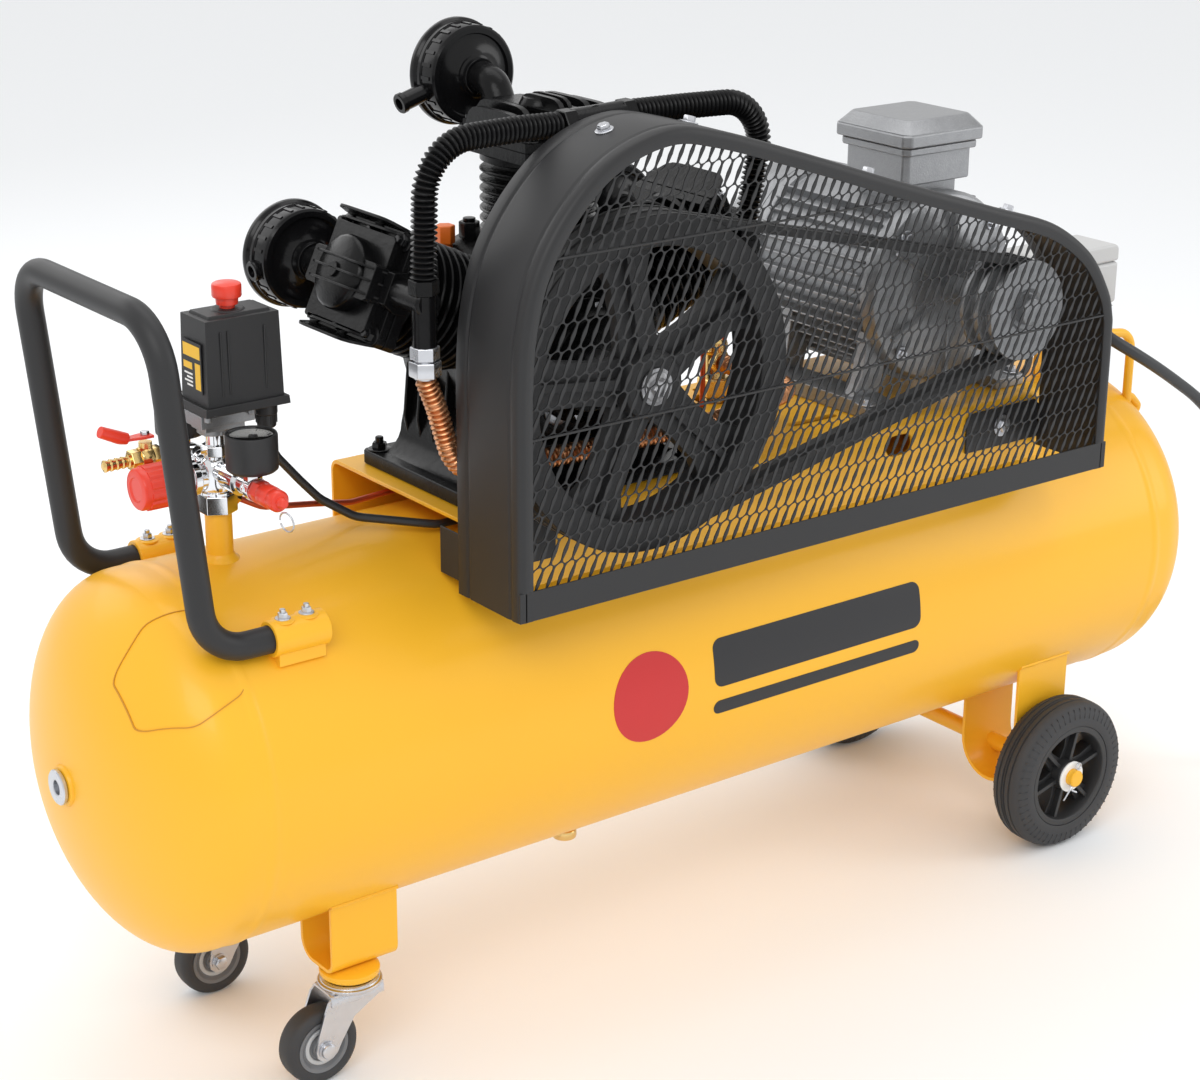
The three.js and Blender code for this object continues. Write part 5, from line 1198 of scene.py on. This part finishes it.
k.obj("motor_lead", CABL, slot="cable_rubber")

# ------------------------------------------------------------------ starter box
k = K()
k.prism([(470, 560), (597, 560), (597, 606), (470, 606)], "y", -50, 10)
k.prism([(474, 556.2), (593, 556.2), (593, 612), (474, 612)], "y", -46, 6)
k.obj("starter_base", GPL, rep=("starter_box",), bevel=4, seg=4, slot="grey_plastic")
k = K()
k.prism([(470, 607), (597, 607), (597, 622), (592, 626), (475, 626), (470, 622)], "y", -50, 10)
k.obj("starter_lid", GPL, bevel=3, seg=4, slot="grey_plastic")
k = K()
k.lathe([(0, 0), (13, 0), (13, 6), (11.6, 8), (9.6, 9), (9.6, 14), (8.8, 16), (8.8, 17.5), (8.2, 19), (8.2, 21), (7.6, 23), (7.6, 25), (7.2, 27), (7.1, 30.6), (0, 30.6)], (485, -50, 576), (0, -1, 0), 40)
for i in range(6):
    a = 2 * pi * i / 6
k.obj("lead_gland", BPL, bevel=0.4, slot="black_plastic")

# ------------------------------------------------------------------ belt guard
GO = [(-326, 652), (-322, 702), (-309, 752), (-284, 794), (-243, 834), (-202, 854), (-159, 861), (-115, 853), (-24, 825), (98, 784), (230, 742), (315, 714), (361, 684), (379, 665), (392, 645), (400, 630), (406, 606)]
GZ0, GX0, GX1, GY0, GY1 = 450.6, -326.0, 406.7, -216.0, -121.7
mid = [(v.x, v.z) for v in even(catmull([(x, 0, z) for x, z in GO], 4), 9)]
OUT = [(GX0, z) for z in (GZ0, 500, 550, 600)] + mid + [(GX1, z) for z in (570, 540, 510, 480, GZ0)]


def offs(pts, d):
    out = []
    n = len(pts)
    for i, p in enumerate(pts):
        a, b = pts[max(0, i - 1)], pts[min(n - 1, i + 1)]
        u = Vector((0, 0))
        if i: u += (Vector(p) - Vector(a)).normalized()
        if i < n - 1: u += (Vector(b) - Vector(p)).normalized()
        u.normalize()
        out.append((p[0] + u.y * d, p[1] - u.x * d))
    return out


# cross-section of the pressed band from the inner lip to the rear edge: (inset, y)
sec = [(15.0, -213.6), (15.0, -215.0), (14.0, -215.8), (9.0, -215.8), (7.6, -216.0), (6.4, -216.0), (4.2, -215.6), (2.2, -214.6), (0.8, -212.8), (0.2, -210.6), (0.0, -207), (0.2, -204), (0.9, -202.6), (0.9, -201), (0.2, -199.6), (0, -198), (0, -142), (0.2, -140.4), (1.0, -139), (1.0, -137.4), (0.2, -136), (0, -134), (0, -122.6), (0.3, -122.0), (1.6, -121.9), (1.9, -122.4),
       (1.9, -134), (2.1, -136), (2.9, -137.4), (2.9, -139), (2.1, -140.4), (1.9, -142), (1.9, -198), (2.1, -199.6), (2.8, -201), (2.8, -202.6), (2.1, -204), (1.9, -208), (2.6, -211.2), (4.2, -213.2), (6.6, -213.8)]
k = K()
rows = [offs(OUT, q) for q, _ in sec]
n, m = len(OUT), len(sec)
vs = []
for j, (q, y) in enumerate(sec):
    for x, z in rows[j]: vs.append((x, y, z))
fs = [(j * n + i, j * n + i + 1, ((j + 1) % m) * n + i + 1, ((j + 1) % m) * n + i) for j in range(m) for i in range(n - 1)]
fs += [tuple(j * n for j in range(m)), tuple(j * n + n - 1 for j in range(m))[::-1]]
k.put(vs, fs)
k.obj("guard_band", CHA, rep=("guard_shell",), sharp=50, slot="charcoal_paint")
k = K()
k.prism([(GX0 + 0.2, 450.6), (GX1 - 0.2, 450.6), (GX1 - 0.2, 478), (GX0 + 0.2, 478)], "y", -216, -214)
k.prism([(GX0 + 2, 450.6), (GX1 - 2, 450.6), (GX1 - 2, 452.4), (GX0 + 2, 452.4)], "y", -214.2, -200)
k.prism([(GX0 + 0.4, 462), (GX0 + 2.2, 462), (GX0 + 2.2, 506), (GX0 + 0.4, 506)], "y", -124, -93)
k.prism([(-325, 462), (-220, 462), (-220, 502), (-325, 502)], "y", -123, -120.8)
k.prism([(300, 460), (404.6, 460), (404.6, 496), (398, 502), (306, 502), (300, 496)], "y", -123, -120.8)
k.obj("guard_rails", CHA, bevel=0.7, slot="charcoal_paint")

topz = sorted(mid)


def ztop(x):
    x = min(max(x, topz[0][0]), topz[-1][0])
    for (x0, z0), (x1, z1) in zip(topz, topz[1:]):
        if x0 <= x <= x1:
            return z0 + (z1 - z0) * (x - x0) / max(1e-6, x1 - x0)
    return topz[-1][1]


inner = offs(OUT, 3.2)


def inside(x, z, d):
    return GX0 + d < x < GX1 - d and z > GZ0 + 2 and z < ztop(x) - d


# slotted screen: leaning slots in brick order, joined by S-shaped strands
PA, PB, KS = 11.6, 23.6, 0.47
zt, za = PB - 13.1, 13.1
hexp = [(PA / 2, zt), (0, za), (-PA / 2, zt), (-PA / 2, -zt), (0, -za), (PA / 2, -zt)]
top_in = [(4.85, 8.3), (4.2, 10.2), (2.4, 11.7), (0, 12.35), (-2.4, 11.7), (-4.2, 10.2), (-4.85, 8.3), (-4.2, 4.3), (-3.65, 0), (-4.2, -4.3)]
bnd, hole = [], []
for i in range(6):
    a, b = hexp[i], hexp[(i + 1) % 6]
    m_ = 4 if i in (2, 5) else 3
    for q in range(m_): bnd.append((a[0] + (b[0] - a[0]) * q / m_, a[1] + (b[1] - a[1]) * q / m_))
hole = top_in + [(-x, -z) for x, z in top_in]
bnd = [(x + KS * z, z) for x, z in bnd]
hole = [(x + KS * z, z) for x, z in hole]
NB = len(bnd)
vs, fs, index = [], [], {}


def vert(x, z):
    key = (round(x, 2), round(z, 2))
    if key not in index:
        index[key] = len(vs); vs.append((x, z))
    return index[key]


rows_n = int((870 - GZ0) / PB) + 2
for j in range(rows_n):
    zc = GZ0 + 10 + j * PB
    sh = (j * (PA / 2 + KS * PB)) % PA
    i0 = int((GX0 - GX0) / PA) - 1
    for i in range(-1, int((GX1 - GX0) / PA) + 3):
        xc = GX0 + i * PA + sh
        if not (GX0 + 3 < xc < GX1 - 3 and zc < ztop(xc) - 3 + 8 and zc > GZ0 + 2): continue
        if zc > ztop(xc) - 4 and zc - za > ztop(xc) - 3: continue
        a_ = [vert(xc + x, zc + z) for x, z in bnd]
        b_ = [vert(xc + x, zc + z) for x, z in hole]
        for q in range(NB):
            r_ = (q + 1) % NB
            fs.append((a_[q], a_[r_], b_[r_], b_[q]))
cl = []
for x, z in vs:
    x = min(max(x, GX0 + 3), GX1 - 3)
    z = min(max(z, GZ0 + 3), ztop(min(max(x, -322.5), 402)) - 3.4)
    if x < -300:
        # keep clear of the curved left side
        for (x0, z0), (x1, z1) in zip(inner, inner[1:]):
            if z0 <= z <= z1 and z1 > z0:
                xe = x0 + (x1 - x0) * (z - z0) / (z1 - z0); x = max(x, xe); break
    cl.append((x, z))
me = bpy.data.meshes.new("guard_screen")
bm = bmesh.new()
bv = [bm.verts.new(P(x, -212.4, z)) for x, z in cl]
for f in fs:
    try: bm.faces.new([bv[i] for i in f])
    except ValueError: pass
bmesh.ops.remove_doubles(bm, verts=bm.verts, dist=2e-5)
bmesh.ops.dissolve_degenerate(bm, dist=1e-5, edges=bm.edges)
bmesh.ops.recalc_face_normals(bm, faces=bm.faces)
bm.to_mesh(me); bm.free()
me.materials.append(CHA)
me.polygons.foreach_set("use_smooth", [False] * len(me.polygons))
scr = bpy.data.objects.new("guard_screen", me)
bpy.context.scene.collection.objects.link(scr)
sd = scr.modifiers.new("thick", "SOLIDIFY"); sd.thickness = 0.0010; sd.offset = 0
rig.ride(scr, "root"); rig.replaces(scr, "guard_mesh"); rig.slot(scr, "charcoal_paint")
k = K()
for zz in (612.5, 765):
    xa = GX0 + 3
    xs = [x for x, z in inner if z >= zz]
    xa, xb = (min(xs), max(xs))
    k.rod((xa + 1, -214.2, zz), (xb - 1, -214.2, zz), 1.1, 10)
k.obj("guard_stiffeners", CHA, slot="charcoal_paint")
k = K()
def rim_pt(x, y): return Vector((x, y, ztop(x)))
for x, y in ((-200, -165), (-96, -150), (120, -150), (300, -160)):
    e = 4.0
    nrm = Vector((-(ztop(x + e) - ztop(x - e)) / (2 * e), 0, 1)).normalized()
    bolt(k, rim_pt(x, y) - nrm * 0.3, nrm, 5.6, 5)
for x in (-262, 350):
    k.lathe([(0, 0), (11, 0), (11.4, 0.6), (11.4, 1.8), (0, 1.8)], (x, -122.8, 482), (0, -1, 0), 32)
    k.lathe([(0, 1.6), (6.8, 1.6), (6.8, 5.4), (5.8, 6.6), (0, 6.6)], (x, -122.8, 482), (0, -1, 0), 6)
k.obj("guard_bolts", ZINC, bevel=0.4, slot="zinc")

# ------------------------------------------------------------------ studio
pl = bpy.data.meshes.new("floor"); pl.from_pydata([(-30, -30, 0), (30, -30, 0), (30, 30, 0), (-30, 30, 0)], [], [(0, 1, 2, 3)])
fl = bpy.data.objects.new("floor", pl); bpy.context.scene.collection.objects.link(fl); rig.stage(fl)
fm, ft_, fb = nt("floor_white"); fb.inputs["Base Color"].default_value = (0.94, 0.955, 0.97, 1); fb.inputs["Roughness"].default_value = 0.7
fb.inputs["Specular IOR Level"].default_value = 0.1
pl.materials.append(fm)
vs_ = bpy.context.scene.view_settings
vs_.view_transform, vs_.look, vs_.exposure, vs_.gamma = "Standard", "None", 0.0, 1.0
w = bpy.data.worlds.new("studio"); bpy.context.scene.world = w; w.use_nodes = True
w.node_tree.nodes["Background"].inputs[0].default_value = (1, 1, 1, 1); w.node_tree.nodes["Background"].inputs[1].default_value = 0.88


def area(name, loc_, target, sx, sy, energy, col=(1, 1, 1)):
    d = bpy.data.lights.new(name, "AREA"); d.shape = "RECTANGLE"; d.size = sx; d.size_y = sy; d.energy = energy; d.color = col
    o = bpy.data.objects.new(name, d); bpy.context.scene.collection.objects.link(o)
    o.location = loc_
    o.rotation_euler = (Vector(target) - Vector(loc_)).to_track_quat("-Z", "Y").to_euler()
    return o


area("key", (-2.2, -2.0, 2.8), (0, 0, 0.4), 2.2, 1.4, 34)
area("top", (0.3, 0.2, 3.2), (0, 0, 0.5), 3.0, 1.4, 20)
area("side", (2.4, -1.8, 1.4), (0.2, 0, 0.4), 1.0, 1.8, 14)
area("back", (-0.6, 2.6, 2.0), (0, 0, 0.6), 3.0, 1.4, 16)

box2 = [[float(c) for c in v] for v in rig.bounds()]
with open("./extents.json", "w") as f_:
    json.dump({"cad": CAD_BOX, "visual": box2}, f_)
